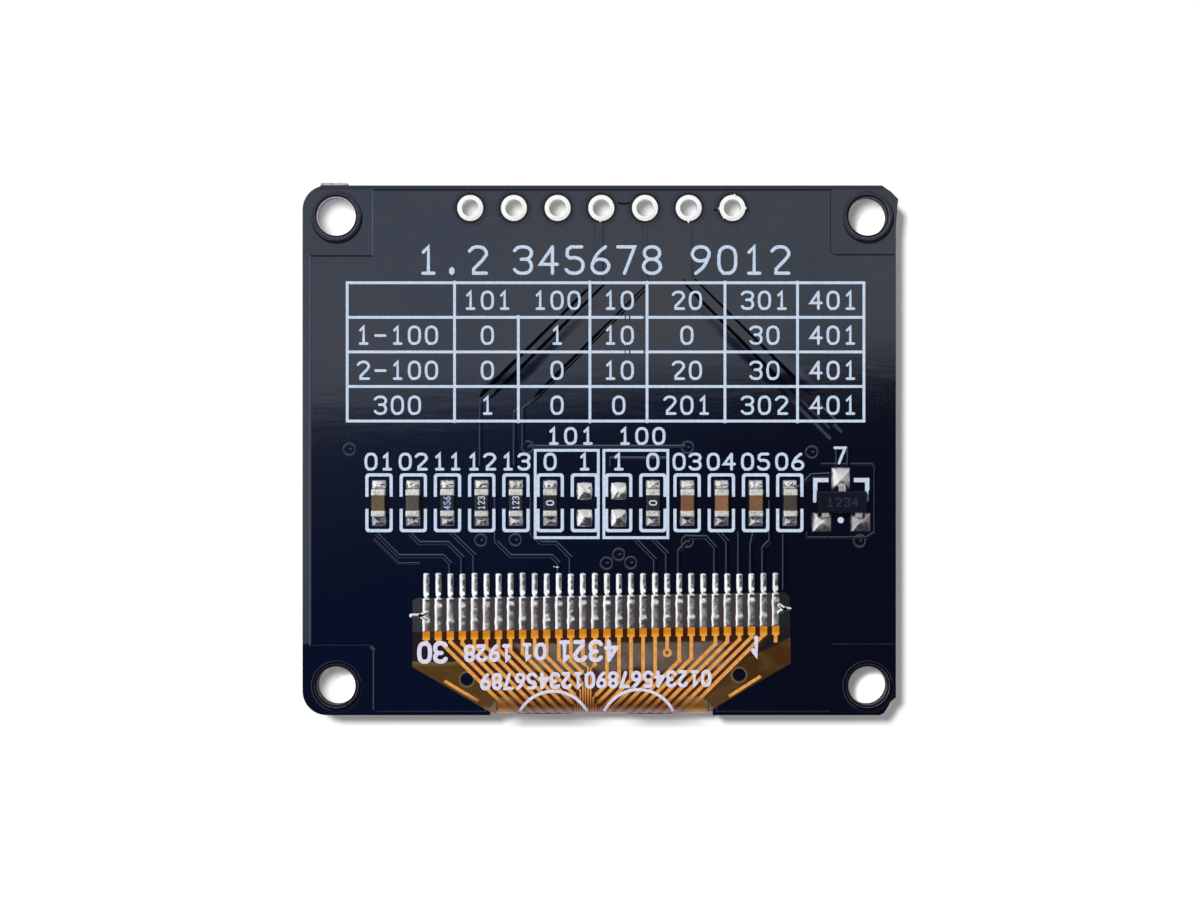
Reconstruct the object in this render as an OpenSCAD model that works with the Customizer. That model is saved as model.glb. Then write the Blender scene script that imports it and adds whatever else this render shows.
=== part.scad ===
// Small OLED display module: a glass display panel taped under a square circuit
// board, with its flex cable folded round one board edge and soldered on the
// component side. The display face rests on z = 0 and the component side is up.

/* [Board] */
// Width of the board, along X
board_w = 34.5; // [30:0.5:44]
// Depth of the board, along Y
board_d = 30.8; // [29:0.1:36]
// Thickness of the board
board_t = 1.2; // [0.8:0.1:2]
// Radius of the rounded left corners
corner_r = 1.4; // [0.8:0.1:1.8]
// Cut of the rough right corners
corner_cut = 0.8; // [0.4:0.1:1.2]
// Depth of the recess that the cable folds round
recess_depth = 0.98; // [0.6:0.02:1.2]

/* [Mounting holes] */
// Distance of the mounting holes from the side edges
hole_edge_x = 1.8; // [1.7:0.05:2.6]
// Distance of the mounting holes from the other two edges
hole_edge_y = 1.75; // [1.65:0.05:2.2]
// Diameter of the mounting holes
hole_d = 2.35; // [1.8:0.05:2.6]

/* [Header row] */
// Pitch of the header holes
pin_pitch = 2.54; // [2:0.01:2.54]
// Bore of each plated eyelet
pin_bore = 1.0; // [0.8:0.05:1.1]
// Diameter of the eyelet's pad
pad_d = 1.5; // [1.3:0.05:1.8]
// Distance of the row from the top edge
pin_edge = 1.31; // [1.2:0.01:1.6]

/* [Display] */
// How far the display glass stands in from the side edges of the board
glass_inset = 0; // [0:0.05:0.6]
// Depth of the front glass
glass_d = 23; // [21:0.5:24]
// Depth of the rear glass, which leaves the bonding ledge free
rear_glass_d = 18; // [16:0.5:18.5]
// Thickness of each glass sheet
glass_t = 0.55; // [0.4:0.05:0.8]
// Thickness of the polarizer
polarizer_t = 0.2; // [0.1:0.05:0.3]
// Thickness of the foam tape
tape_t = 0.3; // [0.2:0.05:0.6]

/* [Cable] */
// Thickness of the cable film
film_t = 0.1; // [0.06:0.01:0.16]
// Pitch of the cable fingers
finger_pitch = 0.7; // [0.6:0.05:0.7]
// Width of the cable film on the board
film_w = 22; // [21.6:0.1:24]
// Width of the folded neck
neck_w = 11.9; // [11:0.1:12]
// Inside radius of the two bends
bend_r = 0.8; // [0.5:0.05:0.8]

/* [Chips] */
// Pitch of the chip row
chip_pitch = 1.99; // [1.9:0.01:2]
// Length of a chip
chip_l = 1.6; // [1.5:0.05:1.7]
// Width of a chip
chip_w = 0.8; // [0.7:0.05:0.85]
// Height of a capacitor
capacitor_h = 0.8; // [0.5:0.05:0.9]
// Height of a resistor
resistor_h = 0.45; // [0.35:0.05:0.6]

/* [Hidden] */
pin_count = 7;
finger_count = 30;
unused_fingers = [20, 23];
capacitor_places = [0, 1, 9, 10, 11, 12];
resistor_places = [2, 3, 4, 5, 8];
open_places = [6, 7];

// Levels of the stack, from the display face upwards
seal_t = 0.05;
emitter_t = 0.02;
trace_t = 0.02;
ink_t = 0.02;
pad_t = 0.03;
ledge_z = polarizer_t + glass_t;
rear_z = ledge_z + seal_t;
tape_z = rear_z + glass_t;
board_z = tape_z + tape_t;
top_z = board_z + board_t;
half_w = board_w / 2;
half_d = board_d / 2;
glass_w = board_w - 2 * glass_inset;
hole_span_x = board_w - 2 * hole_edge_x;
hole_span_y = board_d - 2 * hole_edge_y;
hole_x = 0.16;
hole_y = -0.04;
barrel_t = 0.17;
stub_x = 1.05;
stub_w = 1.54;
stub_h = 0.15;
fine = 48;

// Cable geometry
bend_out = bend_r + film_t;
film_z = ledge_z + trace_t;
recess_y = -half_d + recess_depth;
recess_w = neck_w + 1.05;
recess_x = 0.13;
recess_r = 0.6;
bend_y = recess_y - 0.01;
fold_y = bend_y - bend_out;
neck_x = 0.2;
shoulder_w = neck_w + 0.4;
slit = 0.03;
finger_x = 0.1;
film_x = 0.15;
film_top = -half_d + 6.97;
film_slant = 0.0155;
side_l = 4.05;
pad_end = -half_d + 8.25;
board_pad_w = 0.38;
finger_w = 0.43;
tin_l = 1.94;
tab_l = 0.5;
tab_w = 0.42;
trace_w = 0.21;
diagonal_x = 9.45;
diagonal_step = 0.58;
bundle_x = -0.5;
bundle_pitch = 0.15;
lane_w = 0.08;
bond_l = 1.5;
glass_y = -half_d + 3.2;
bond_y = glass_y + bond_l;

// Header row and chip row
pin_y = half_d - pin_edge;
pin_x = 0.12;
chip_x = -0.86;
chip_y = -half_d + 12.35;
chip_z = top_z + pad_t;
terminal_l = 0.35;
plate_t = 0.02;
solder_w = 0.85;
solder_top = 0.5;
solder_foot = 0.62;

// Legend
table_y = -half_d + 17.1;
row_pitch = 2.01;
line_w = 0.16;
frame_w = 1.59;
frame_l = 3.42;
frame_line = 0.18;
frame_gap = 0.7;
bracket_w = 0.25;

// Regulator
regulator_x = 14.07;
regulator_y = -half_d + 12.4;
regulator_l = 2.85;
regulator_w = 1.26;
regulator_h = 1.0;
standoff = 0.08;
lead_w = 0.42;
lead_t = 0.12;
lead_x = 0.97;
lead_reach = 0.58;
lead_foot = 0.36;

function unused_beyond(i) = len([for (f = unused_fingers) if (f > i) f]);
function rank(i) = i < finger_count / 2 ? i - 1 : finger_count - 2 - i - unused_beyond(i);
function pad_x(i) = finger_x + (i - (finger_count - 1) / 2) * finger_pitch;
function side(i) = i < finger_count / 2 ? -1 : 1;
function order(i) = i - 16 + unused_beyond(i);
function lane_x(i) = bundle_x + order(i) * bundle_pitch;
// Depth below the tabs at which a trace turns towards the bundle
function turn(i) = max(0, diagonal_x - diagonal_step * rank(i) - abs(pad_x(i) - finger_x));
// The cable is soldered down slightly askew, so its rows rise towards +X
function edge_y(i) = film_top + film_slant * pad_x(i);
function trace_top(i) = edge_y(i) - tin_l - tab_l;
// Where a trace crosses the outermost line of the fold
function run(i) = trace_top(i) - turn(i) - fold_y;
function end_x(i) = side(i) * max(side(i) * lane_x(i), side(i) * pad_x(i) - run(i));
function is_trace(i) = i > 0 && i < finger_count - 1 && len(search(i, unused_fingers)) == 0;

module rounded(w, d, r) {
    square([w - 2 * r, d], center = true);
    square([w, d - 2 * r], center = true);
    for (x = [-1, 1], y = [-1, 1])
        translate([x * (w / 2 - r), y * (d / 2 - r)]) circle(r, $fn = fine);
}

// Block with every edge rounded
module rounded_block(w, d, h, r) {
    translate([0, 0, h / 2]) intersection() {
        linear_extrude(h, center = true) rounded(w, d, r);
        rotate([90, 0, 0]) linear_extrude(d, center = true) rounded(w, h, r);
        rotate([90, 0, 90]) linear_extrude(w, center = true) rounded(d, h, r);
    }
}

// Solder pillow on a square pad
module pillow(w, d, h) {
    dome_r = (w * w + d * d) / (8 * h) + h / 2;
    intersection() {
        linear_extrude(h) rounded(w, d, 0.12);
        translate([0, 0, h - dome_r]) sphere(dome_r, $fn = fine);
    }
}

module wire_2d(a, b, w) {
    length = norm(b - a);
    translate(a) rotate(atan2(b[1] - a[1], b[0] - a[0]))
        translate([-w / 2, -w / 2]) square([length + w, w]);
}

module path_2d(points, w) {
    for (i = [1 : len(points) - 1]) wire_2d(points[i - 1], points[i], w);
}

module frame_2d(x0, y0, x1, y1, w) {
    path_2d([[x0, y0], [x1, y0], [x1, y1], [x0, y1], [x0, y0]], w);
}

// Rounded left corners, rough right corners, a break-off stub and the cable's recess
module board_2d() {
    c = corner_cut;
    difference() {
        polygon([[-half_w, -half_d], [-half_w, half_d], [-half_w + stub_x, half_d],
            [-half_w + stub_x, half_d + stub_h], [-half_w + stub_x + stub_w, half_d + stub_h],
            [-half_w + stub_x + stub_w, half_d], [half_w - c, half_d],
            [half_w - 0.66 * c, half_d - 0.25 * c], [half_w - 0.36 * c, half_d - 0.44 * c],
            [half_w + 0.15, half_d - c], [half_w + 0.1, half_d - 1.4 * c],
            [half_w, half_d - 3 * c], [half_w, -half_d + 1.3 * c],
            [half_w - 0.36 * c, -half_d + c], [half_w - 0.54 * c, -half_d + 0.64 * c],
            [half_w - 0.86 * c, -half_d + 0.16 * c], [half_w - 1.15 * c, -half_d]]);
        corner_cutter_2d(1, stub_x);
        corner_cutter_2d(-1, corner_r);
        translate([recess_x, -half_d - recess_depth])
            rounded(recess_w, 4 * recess_depth, recess_r);
    }
}

// What is cut away round a left corner, up to a given distance from the left edge
module corner_cutter_2d(s, reach) {
    difference() {
        translate([-half_w - 1, s > 0 ? half_d - corner_r : -half_d - 1])
            square([1 + reach, corner_r + 1]);
        translate([-half_w + corner_r, s * (half_d - corner_r)]) circle(corner_r, $fn = fine);
    }
}

module circuit_board() {
    color("midnightblue") translate([0, 0, board_z]) difference() {
        linear_extrude(board_t) board_2d();
        for (x = [-0.5, 0.5], y = [-0.5, 0.5])
            translate([hole_x + x * hole_span_x, hole_y + y * hole_span_y, -1])
                cylinder(d = hole_d, h = board_t + 2, $fn = fine);
        for (i = [1 : pin_count]) translate([eyelet_x(i), pin_y, -1])
            cylinder(r = pin_bore / 2 + barrel_t, h = board_t + 2, $fn = fine);
    }
}

function eyelet_x(i) = pin_x + (i - (pin_count + 1) / 2) * pin_pitch;

// Plated barrel with a pad on both faces
module header_eyelet(i) {
    if (i <= pin_count) color("silver") translate([eyelet_x(i), pin_y, 0]) difference() {
        union() {
            translate([0, 0, board_z])
                cylinder(r = pin_bore / 2 + barrel_t, h = board_t, $fn = fine);
            translate([0, 0, board_z - pad_t]) cylinder(d = pad_d, h = pad_t, $fn = fine);
            translate([0, 0, top_z]) cylinder(d = pad_d, h = pad_t, $fn = fine);
            translate([0, 0, chip_z])
                cylinder(d1 = pad_d - 0.1, d2 = pad_d - 0.3, h = pad_t, $fn = fine);
        }
        translate([0, 0, board_z - 1]) cylinder(d = pin_bore, h = board_t + 2, $fn = fine);
    }
}

module board_legend() {
    color("white") translate([0, 0, top_z]) linear_extrude(ink_t) {
        table_2d();
        for (i = [0 : 12]) chip_frame_2d(place_x(i));
        for (box = [[-3.72, -0.05], [0.27, 3.99]])
            frame_2d(box[0], chip_y + 3.05, box[1], chip_y - 2.03, line_w);
        translate([regulator_x, regulator_y]) {
            for (s = [-1, 1]) path_2d([[s * 0.86, 1.27], [s * 1.51, 1.27], [s * 1.51, 0.8]],
                bracket_w);
            translate([-0.03, -1.06]) circle(0.18, $fn = fine);
        }
    }
}

// Ruled table of four rows and seven columns, with one divider left open
module table_2d() {
    rows = [for (i = [0 : 4]) table_y + row_pitch * i];
    columns = [-14.65, -8.41, -4.7, -0.54, 2.78, 7.31, 11.53, 15.39];
    for (y = rows) wire_2d([columns[0], y], [columns[7], y], line_w);
    for (i = [0 : 7]) wire_2d([columns[i], rows[0]], [columns[i], rows[i == 2 ? 3 : 4]], line_w);
}

function place_x(i) = chip_x + (i - 6) * chip_pitch;

// White outline of a chip, open at the middle of both sides
module chip_frame_2d(x) {
    translate([x, chip_y]) difference() {
        rounded(frame_w, frame_l, 0.2);
        rounded(frame_w - 2 * frame_line, frame_l - 2 * frame_line, 0.1);
        square([2 * frame_w, frame_gap], center = true);
    }
}

// Tinned pads of the board in front of the cable's own fingers
module board_finger_pads() {
    color("gainsboro") for (i = [0 : finger_count - 1]) translate([pad_x(i), edge_y(i), top_z])
        bead(board_pad_w, pad_end - edge_y(i), film_t + 0.01);
}

// Rod of solder lying along Y, with a domed section and a round far end
module bead(w, l, h) {
    r = (w * w / 4 + h * h) / (2 * h);
    intersection() {
        translate([0, 0, h - r]) rotate([-90, 0, 0]) cylinder(r = r, h = l, $fn = fine);
        linear_extrude(h) {
            translate([-w / 2, 0]) square([w, l - w / 2]);
            translate([0, l - w / 2]) circle(w / 2, $fn = fine);
        }
    }
}

// Pad film and the hollow fillet that climbs a chip's end face
module end_fillet(h) {
    rise = 0.7 * h;
    rotate([90, 0, 90]) translate([0, 0, -solder_w / 2]) linear_extrude(solder_w) {
        translate([-terminal_l, 0]) square([terminal_l + solder_top, pad_t]);
        difference() {
            translate([0, pad_t]) square([solder_top, rise]);
            translate([solder_top, pad_t + solder_top + 0.02])
                circle(solder_top + 0.02, $fn = fine);
            translate([solder_top - 0.02, pad_t]) square([0.04, rise]);
            translate([-1, pad_t + rise]) square([2, 2]);
        }
    }
}

module chip_solder_fillets() {
    color("silver") for (i = capacitor_places) solder_pair(place_x(i), capacitor_h);
    color("silver") for (i = resistor_places) solder_pair(place_x(i), resistor_h);
}

module solder_pair(x, h) {
    for (s = [0, 1]) translate([x, chip_y, top_z]) mirror([0, s, 0])
        translate([0, chip_l / 2, 0]) end_fillet(h);
}

// Domed solder on the four pads of the two open places
module jumper_pad_solder() {
    color("gainsboro") for (i = open_places, s = [-1, 1])
        translate([place_x(i), chip_y - 0.1 + s * 0.79, top_z]) pillow(0.95, 1.04, 0.3);
}

module chip_at(i) {
    translate([place_x(i), chip_y, chip_z]) children();
}

module capacitor_body(n) {
    if (n == 2 || n == 6) color("darkolivegreen") chip_core(capacitor_places[n - 1], capacitor_h);
    else color("peru") chip_core(capacitor_places[n - 1], capacitor_h);
}

module chip_core(i, h) {
    chip_at(i) translate([0, 0, plate_t])
        rounded_block(chip_w - 2 * plate_t, chip_l - 2 * plate_t, h - 2 * plate_t, 0.06);
}

// Plated caps that wrap both ends of a chip
module chip_terminals(i, h, core) {
    chip_at(i) difference() {
        rounded_block(chip_w, chip_l, h, 0.07);
        cube([2 * chip_w, chip_l - 2 * terminal_l, 4 * h], center = true);
        translate([0, 0, plate_t])
            rounded_block(chip_w - 2 * plate_t, chip_l - 2 * plate_t, core, 0.06);
    }
}

module capacitor_terminals(n) {
    color("silver") chip_terminals(capacitor_places[n - 1], capacitor_h,
        capacitor_h - 2 * plate_t);
}

module resistor_body(n) {
    color("whitesmoke") chip_core(resistor_places[n - 1], resistor_h);
}

// Black overcoat on the ceramic, between the plated ends
module resistor_coat(n) {
    coat_l = chip_l - 2 * terminal_l - 0.02;
    color("black") chip_at(resistor_places[n - 1])
        translate([0, 0, resistor_h - plate_t]) linear_extrude(plate_t)
            rounded(chip_w - 0.14, coat_l, 0.03);
}

module resistor_terminals(n) {
    color("silver") chip_terminals(resistor_places[n - 1], resistor_h,
        resistor_h - 2 * plate_t);
}

// Moulded case with drafted flanks and a step at the lead line
module regulator_body() {
    seat = chip_z + standoff;
    mid = regulator_h / 2;
    draft = 0.07;
    color("dimgray") translate([regulator_x, regulator_y, seat]) intersection() {
        rotate([90, 0, 0]) linear_extrude(2 * regulator_w, center = true)
            case_2d(regulator_l / 2, mid, draft);
        rotate([90, 0, 90]) linear_extrude(2 * regulator_l, center = true)
            case_2d(regulator_w / 2, mid, draft);
    }
}

module case_2d(half, mid, draft) {
    land = lead_t / 2;
    polygon([[-half + draft, 0], [half - draft, 0], [half, mid - land], [half, mid + land],
        [half - draft, 2 * mid], [-half + draft, 2 * mid], [-half, mid + land],
        [-half, mid - land]]);
}

// Gull-wing lead: out of the case, down to the pad and along it
module gull_lead() {
    seat = standoff + (regulator_h - lead_t) / 2;
    heel = lead_reach - lead_foot;
    rotate([90, 0, 90]) translate([0, 0, -lead_w / 2]) linear_extrude(lead_w)
        polygon([[0, seat], [heel - lead_t, seat], [heel - 0.02, 0], [lead_reach, 0],
            [lead_reach, lead_t], [heel + lead_t, lead_t], [heel, seat + lead_t],
            [0, seat + lead_t]]);
}

// Lead 1 leaves the middle of the upper side, leads 2 and 3 the ends of the lower side
module regulator_lead(n) {
    color("silver") translate([regulator_x + [0, -lead_x, lead_x][n - 1], regulator_y, chip_z])
        mirror([0, n == 1 ? 0 : 1, 0]) translate([0, regulator_w / 2, 0]) gull_lead();
}

// Solder that buries the feet of the leads on their pads
module regulator_solder() {
    reach = regulator_y + regulator_w / 2 + 0.03;
    drop = regulator_y - regulator_w / 2 - 0.03;
    color("silver") difference() {
        translate([0, 0, top_z]) {
            translate([regulator_x - 0.02, reach + 0.69, 0]) pillow(1.12, 1.38, 0.42);
            for (s = [-1, 1]) translate([regulator_x + s * 1.16, drop - 0.56, 0])
                pillow(1.16, 1.12, 0.4);
        }
        for (n = [1 : 3]) regulator_lead(n);
    }
}

// Outline of the cable as it lies on the board, seen from above
module film_2d() {
    half_film = film_w / 2;
    half_recess = recess_w / 2;
    rise = film_slant * half_film;
    difference() {
        intersection() {
            polygon([[film_x - half_film, film_top - rise],
                [film_x - half_film, film_top - side_l - 0.12],
                [recess_x - half_recess, fold_y + 0.13], [neck_x - neck_w / 2, fold_y],
                [neck_x + neck_w / 2, fold_y], [recess_x + half_recess, fold_y + 0.3],
                [film_x + half_film, film_top - side_l + 0.12],
                [film_x + half_film, film_top + rise]]);
            translate([film_x, film_top - 5]) rotate(atan(film_slant))
                rounded(film_w, 10, 0.4);
        }
        for (hole = [[-7.84, -4.88], [8, -4.62]])
            translate([film_x + hole[0], film_top + hole[1]]) circle(0.36, $fn = fine);
    }
}

// Side view of one layer of the cable: along the board, round the fold and back to the
// bond on the front glass. It lies between distances a and b from the film's inner face.
module layer_2d(a, b) {
    low = film_z + film_t;
    translate([bend_y, top_z + a]) square([film_top + 1 - bend_y, b - a]);
    for (c = [[top_z - bend_r, 1], [low + bend_r, 0]]) translate([bend_y, c[0]]) intersection() {
        difference() {
            circle(bend_r + b, $fn = fine);
            circle(bend_r + a, $fn = fine);
        }
        translate([-2 * bend_out, c[1] == 1 ? 0 : -2 * bend_out]) square(2 * bend_out);
    }
    translate([bend_y - bend_r - b, low + bend_r])
        square([b - a, top_z - low - 2 * bend_r]);
    translate([bend_y, low - b]) square([bond_y - bend_y, b - a]);
}

module layer(a, b, x0, x1) {
    translate([x0, 0, 0]) rotate([90, 0, 90]) linear_extrude(x1 - x0) layer_2d(a, b);
}

// Space above and below the middle of the fold, cut to two outlines seen from above
module halves() {
    middle = (film_z + film_t + top_z) / 2;
    translate([0, 0, middle]) linear_extrude(top_z) children(0);
    translate([0, 0, middle - top_z]) linear_extrude(top_z) children(1);
}

module flex_film() {
    shoulder_l = neck_x - shoulder_w / 2;
    shoulder_r = neck_x + shoulder_w / 2;
    color("darkgoldenrod") {
        translate([0, 0, top_z]) linear_extrude(film_t) difference() {
            film_2d();
            translate([shoulder_l - slit, bend_y - 3]) square([shoulder_w + 2 * slit, 3]);
        }
        intersection() {
            layer(0, film_t, shoulder_l, shoulder_r);
            halves() {
                intersection() {
                    film_2d();
                    translate([-half_w, bend_y - 3]) square([board_w, 3.1]);
                }
                translate([neck_x - neck_w / 2, fold_y - 1]) square([neck_w, board_d]);
            }
        }
    }
}

function is_bundled(i) = run(i) > abs(pad_x(i) - lane_x(i));
function end_w(i) = is_bundled(i) ? lane_w : trace_w;

// Plan of one trace: tab, straight run, 45 degree run, and a narrow lane if it
// reaches the bundle above the fold
module trace_2d(i) {
    x = pad_x(i);
    top = trace_top(i);
    bend = top - turn(i);
    shift = end_x(i) - x;
    join = [end_x(i), bend - abs(shift)];
    neck = is_bundled(i) ? min(abs(shift), 0.22) : 0;
    wide_end = join + neck * [-sign(shift), 1];
    tab_2d(i);
    path_2d([[x, top], [x, bend], wide_end], trace_w);
    path_2d([wide_end, join, [end_x(i), fold_y - 0.1]], end_w(i));
}

module tab_2d(i) {
    translate([pad_x(i) - tab_w / 2, trace_top(i)]) square([tab_w, tab_l]);
}

// Fingers that carry no trace: two stubs at the ends, a ring and a short stub
module spare_2d() {
    for (spare = [[0, 0.35], [20, 0.75], [23, 0.3], [29, 0.45]]) {
        tab_2d(spare[0]);
        translate([pad_x(spare[0]), trace_top(spare[0]) - spare[1] / 2])
            square([trace_w, spare[1]], center = true);
    }
    translate([pad_x(20), trace_top(20) - 0.95]) difference() {
        circle(0.26, $fn = fine);
        circle(0.12, $fn = fine);
    }
}

// Short strips of copper that stiffen the slanted edges
module guard_2d() {
    wire_2d([film_x - 9.06, film_top - 5.02], [film_x - 7.24, film_top - 6.1], 0.18);
    wire_2d([film_x + 9.16, film_top - 4.74], [film_x + 7.46, film_top - 5.82], 0.18);
}

module flex_traces() {
    used = [for (i = [0 : finger_count - 1]) if (is_trace(i)) i];
    color("orange") intersection() {
        layer(film_t, film_t + trace_t, -half_w, half_w);
        halves() {
            union() {
                for (i = used) trace_2d(i);
                spare_2d();
                guard_2d();
            }
            for (i = used) translate([end_x(i) - end_w(i) / 2, fold_y - 1])
                square([end_w(i), board_d]);
        }
    }
}

// Tinned fingers of the cable, each with a bump over its solder hole
module flex_finger_solder() {
    color("silver") for (i = [0 : finger_count - 1]) translate([pad_x(i), 0, top_z + film_t]) {
        translate([0, edge_y(i) - tin_l, 0]) bead(finger_w, tin_l, 0.06);
        translate([0, edge_y(i) - (i % 2 == 1 ? 0.55 : 1.45), 0]) intersection() {
            cylinder(r = 0.25, h = 0.1, $fn = fine);
            translate([0, 0, -0.3]) sphere(0.4, $fn = fine);
        }
    }
}

module sheet(w, y0, y1, z, t) {
    translate([-w / 2, y0, z]) cube([w, y1 - y0, t]);
}

// Values shared by the sheets of the display
rear_y = glass_y + glass_d - rear_glass_d;
glass_top = glass_y + glass_d;
cell_margin = 0.6;
polarizer_margin = 1.55;
emitter_margin = 2.55;
emitter_inset = 1.6;
seal_margin = 0.2;
seal_w = 0.9;
cavity_t = 0.25;
cavity_margin = 1.3;
desiccant_t = 0.15;
desiccant_margin = 5.25;
desiccant_inset = 4;
foam_margin = 3.25;
foam_inset = 2;
driver_l = 7.6;
driver_w = 0.95;
driver_t = 0.3;

module polarizer() {
    color("dimgray") sheet(glass_w - 2 * polarizer_margin, rear_y + cell_margin,
        glass_top - cell_margin, 0, polarizer_t);
}

module front_glass() {
    color("lightcyan") sheet(glass_w, glass_y, glass_top, polarizer_t, glass_t);
}

module emitter_film() {
    color("darkslategray") sheet(glass_w - 2 * emitter_margin, rear_y + emitter_inset,
        glass_top - emitter_inset, ledge_z, emitter_t);
}

module perimeter_seal() {
    w = glass_w - 2 * seal_margin;
    inner = seal_margin + seal_w;
    color("gray") difference() {
        sheet(w, rear_y + seal_margin, glass_top - seal_margin, ledge_z, seal_t);
        translate([0, 0, -1]) sheet(w - 2 * seal_w, rear_y + inner, glass_top - inner,
            ledge_z, seal_t + 2);
    }
}

// Cover glass with a shallow cavity over the emitting layer
module rear_glass() {
    color("lightsteelblue") difference() {
        sheet(glass_w, rear_y, glass_top, rear_z, glass_t);
        translate([0, 0, -1]) sheet(glass_w - 2 * cavity_margin, rear_y + cavity_margin,
            glass_top - cavity_margin, rear_z, cavity_t + 1);
    }
}

module desiccant_sheet() {
    color("white") sheet(glass_w - 2 * desiccant_margin, rear_y + desiccant_inset,
        glass_top - desiccant_inset, rear_z + cavity_t - desiccant_t, desiccant_t);
}

// Bare driver chip on the ledge between the cover glass and the cable's bond
module driver_chip() {
    color("black") translate([0, (rear_y + bond_y) / 2, ledge_z]) linear_extrude(driver_t)
        square([driver_l, driver_w], center = true);
}

module foam_tape() {
    color("black") sheet(glass_w - 2 * foam_margin, rear_y + foam_inset,
        glass_top - foam_inset, tape_z, tape_t);
}

circuit_board();
for (i = [1 : pin_count])
    header_eyelet(i);
board_legend();
board_finger_pads();
chip_solder_fillets();
jumper_pad_solder();
for (i = [1 : len(capacitor_places)]) {
    capacitor_body(i);
    capacitor_terminals(i);
}
for (i = [1 : len(resistor_places)]) {
    resistor_body(i);
    resistor_coat(i);
    resistor_terminals(i);
}
regulator_body();
for (i = [1 : 3])
    regulator_lead(i);
regulator_solder();
flex_film();
flex_traces();
flex_finger_solder();
polarizer();
front_glass();
emitter_film();
perimeter_seal();
rear_glass();
desiccant_sheet();
driver_chip();
foam_tape();
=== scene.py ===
import math

import bpy
import numpy as np
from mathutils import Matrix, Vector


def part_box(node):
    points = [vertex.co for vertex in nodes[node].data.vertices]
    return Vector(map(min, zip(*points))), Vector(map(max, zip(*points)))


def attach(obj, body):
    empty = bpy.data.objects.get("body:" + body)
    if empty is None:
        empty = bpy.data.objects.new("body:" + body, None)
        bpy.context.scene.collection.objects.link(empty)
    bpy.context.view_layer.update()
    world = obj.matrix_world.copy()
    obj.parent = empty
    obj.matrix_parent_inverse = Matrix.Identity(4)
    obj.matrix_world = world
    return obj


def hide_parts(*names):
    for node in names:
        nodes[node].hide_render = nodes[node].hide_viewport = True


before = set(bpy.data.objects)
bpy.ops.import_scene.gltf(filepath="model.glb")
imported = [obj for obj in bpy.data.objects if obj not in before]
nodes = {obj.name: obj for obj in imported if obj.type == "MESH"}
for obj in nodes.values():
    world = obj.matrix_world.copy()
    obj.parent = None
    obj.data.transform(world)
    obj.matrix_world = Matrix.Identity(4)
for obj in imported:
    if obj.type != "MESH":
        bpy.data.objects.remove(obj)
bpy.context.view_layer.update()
scene = bpy.context.scene
print("frame loaded,", len(nodes), "nodes")

# Everything below is worked out in millimetres and written to the meshes in metres.
mm = 0.001


def nodeBox(name):
    # Low and high corner of a node, in millimetres.
    low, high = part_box(name)
    return np.array(low) / mm, np.array(high) / mm


boardTop = nodeBox("circuit_board")[1][2]
filmBox = nodeBox("flex_film")
filmTopFlat = filmBox[1][2]


# Small mesh tools.

def flatBoard(x, y):
    # Height of the ground for everything that lies on the board.
    return boardTop + 0 * x


def addPiece(name, parts, finish, slot, replaces=()):
    # One object from several (vertices, faces) parts, riding on the root body; only solder is smooth.
    counts = np.cumsum([0] + [len(verts) for verts, faces in parts])
    allVerts = np.concatenate([verts for verts, faces in parts]) * mm
    allFaces = []
    for start, (verts, faces) in zip(counts, parts):
        allFaces += [[int(start) + k for k in face] for face in faces]
    mesh = bpy.data.meshes.new(name)
    mesh.from_pydata(allVerts.tolist(), [], allFaces)
    mesh.polygons.foreach_set("use_smooth", np.full(len(mesh.polygons), slot == "solder"))
    mesh.update()
    mesh.materials.append(finish)
    piece = bpy.data.objects.new(name, mesh)
    scene.collection.objects.link(piece)
    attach(piece, "root")
    if replaces:
        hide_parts(*replaces)
    return piece


def gridFaces(rows, columns, wrapColumns=False):
    # Quads between neighbouring rows and columns of a grid of points stored row by row.
    index = np.arange(rows * columns).reshape(rows, columns)
    if wrapColumns:
        index = np.concatenate([index, index[:, :1]], axis=1)
    corners = (index[:-1, :-1], index[:-1, 1:], index[1:, 1:], index[1:, :-1])
    return np.stack([c.ravel() for c in corners], axis=1).tolist()


def softNoise(x, y, seed, size):
    # Sum of six plane waves with random directions and phases, about -1 to 1, wave length about size.
    rng = np.random.default_rng(seed)
    total = np.zeros(np.broadcast(x, y).shape)
    for angle, phase, stretch in rng.uniform((0, 0, 0.6), (6.28, 6.28, 1.7), (6, 3)):
        reach = (x * math.cos(angle) + y * math.sin(angle)) / (size * stretch)
        total = total + np.sin(6.28 * reach + phase)
    return total / 3


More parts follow.
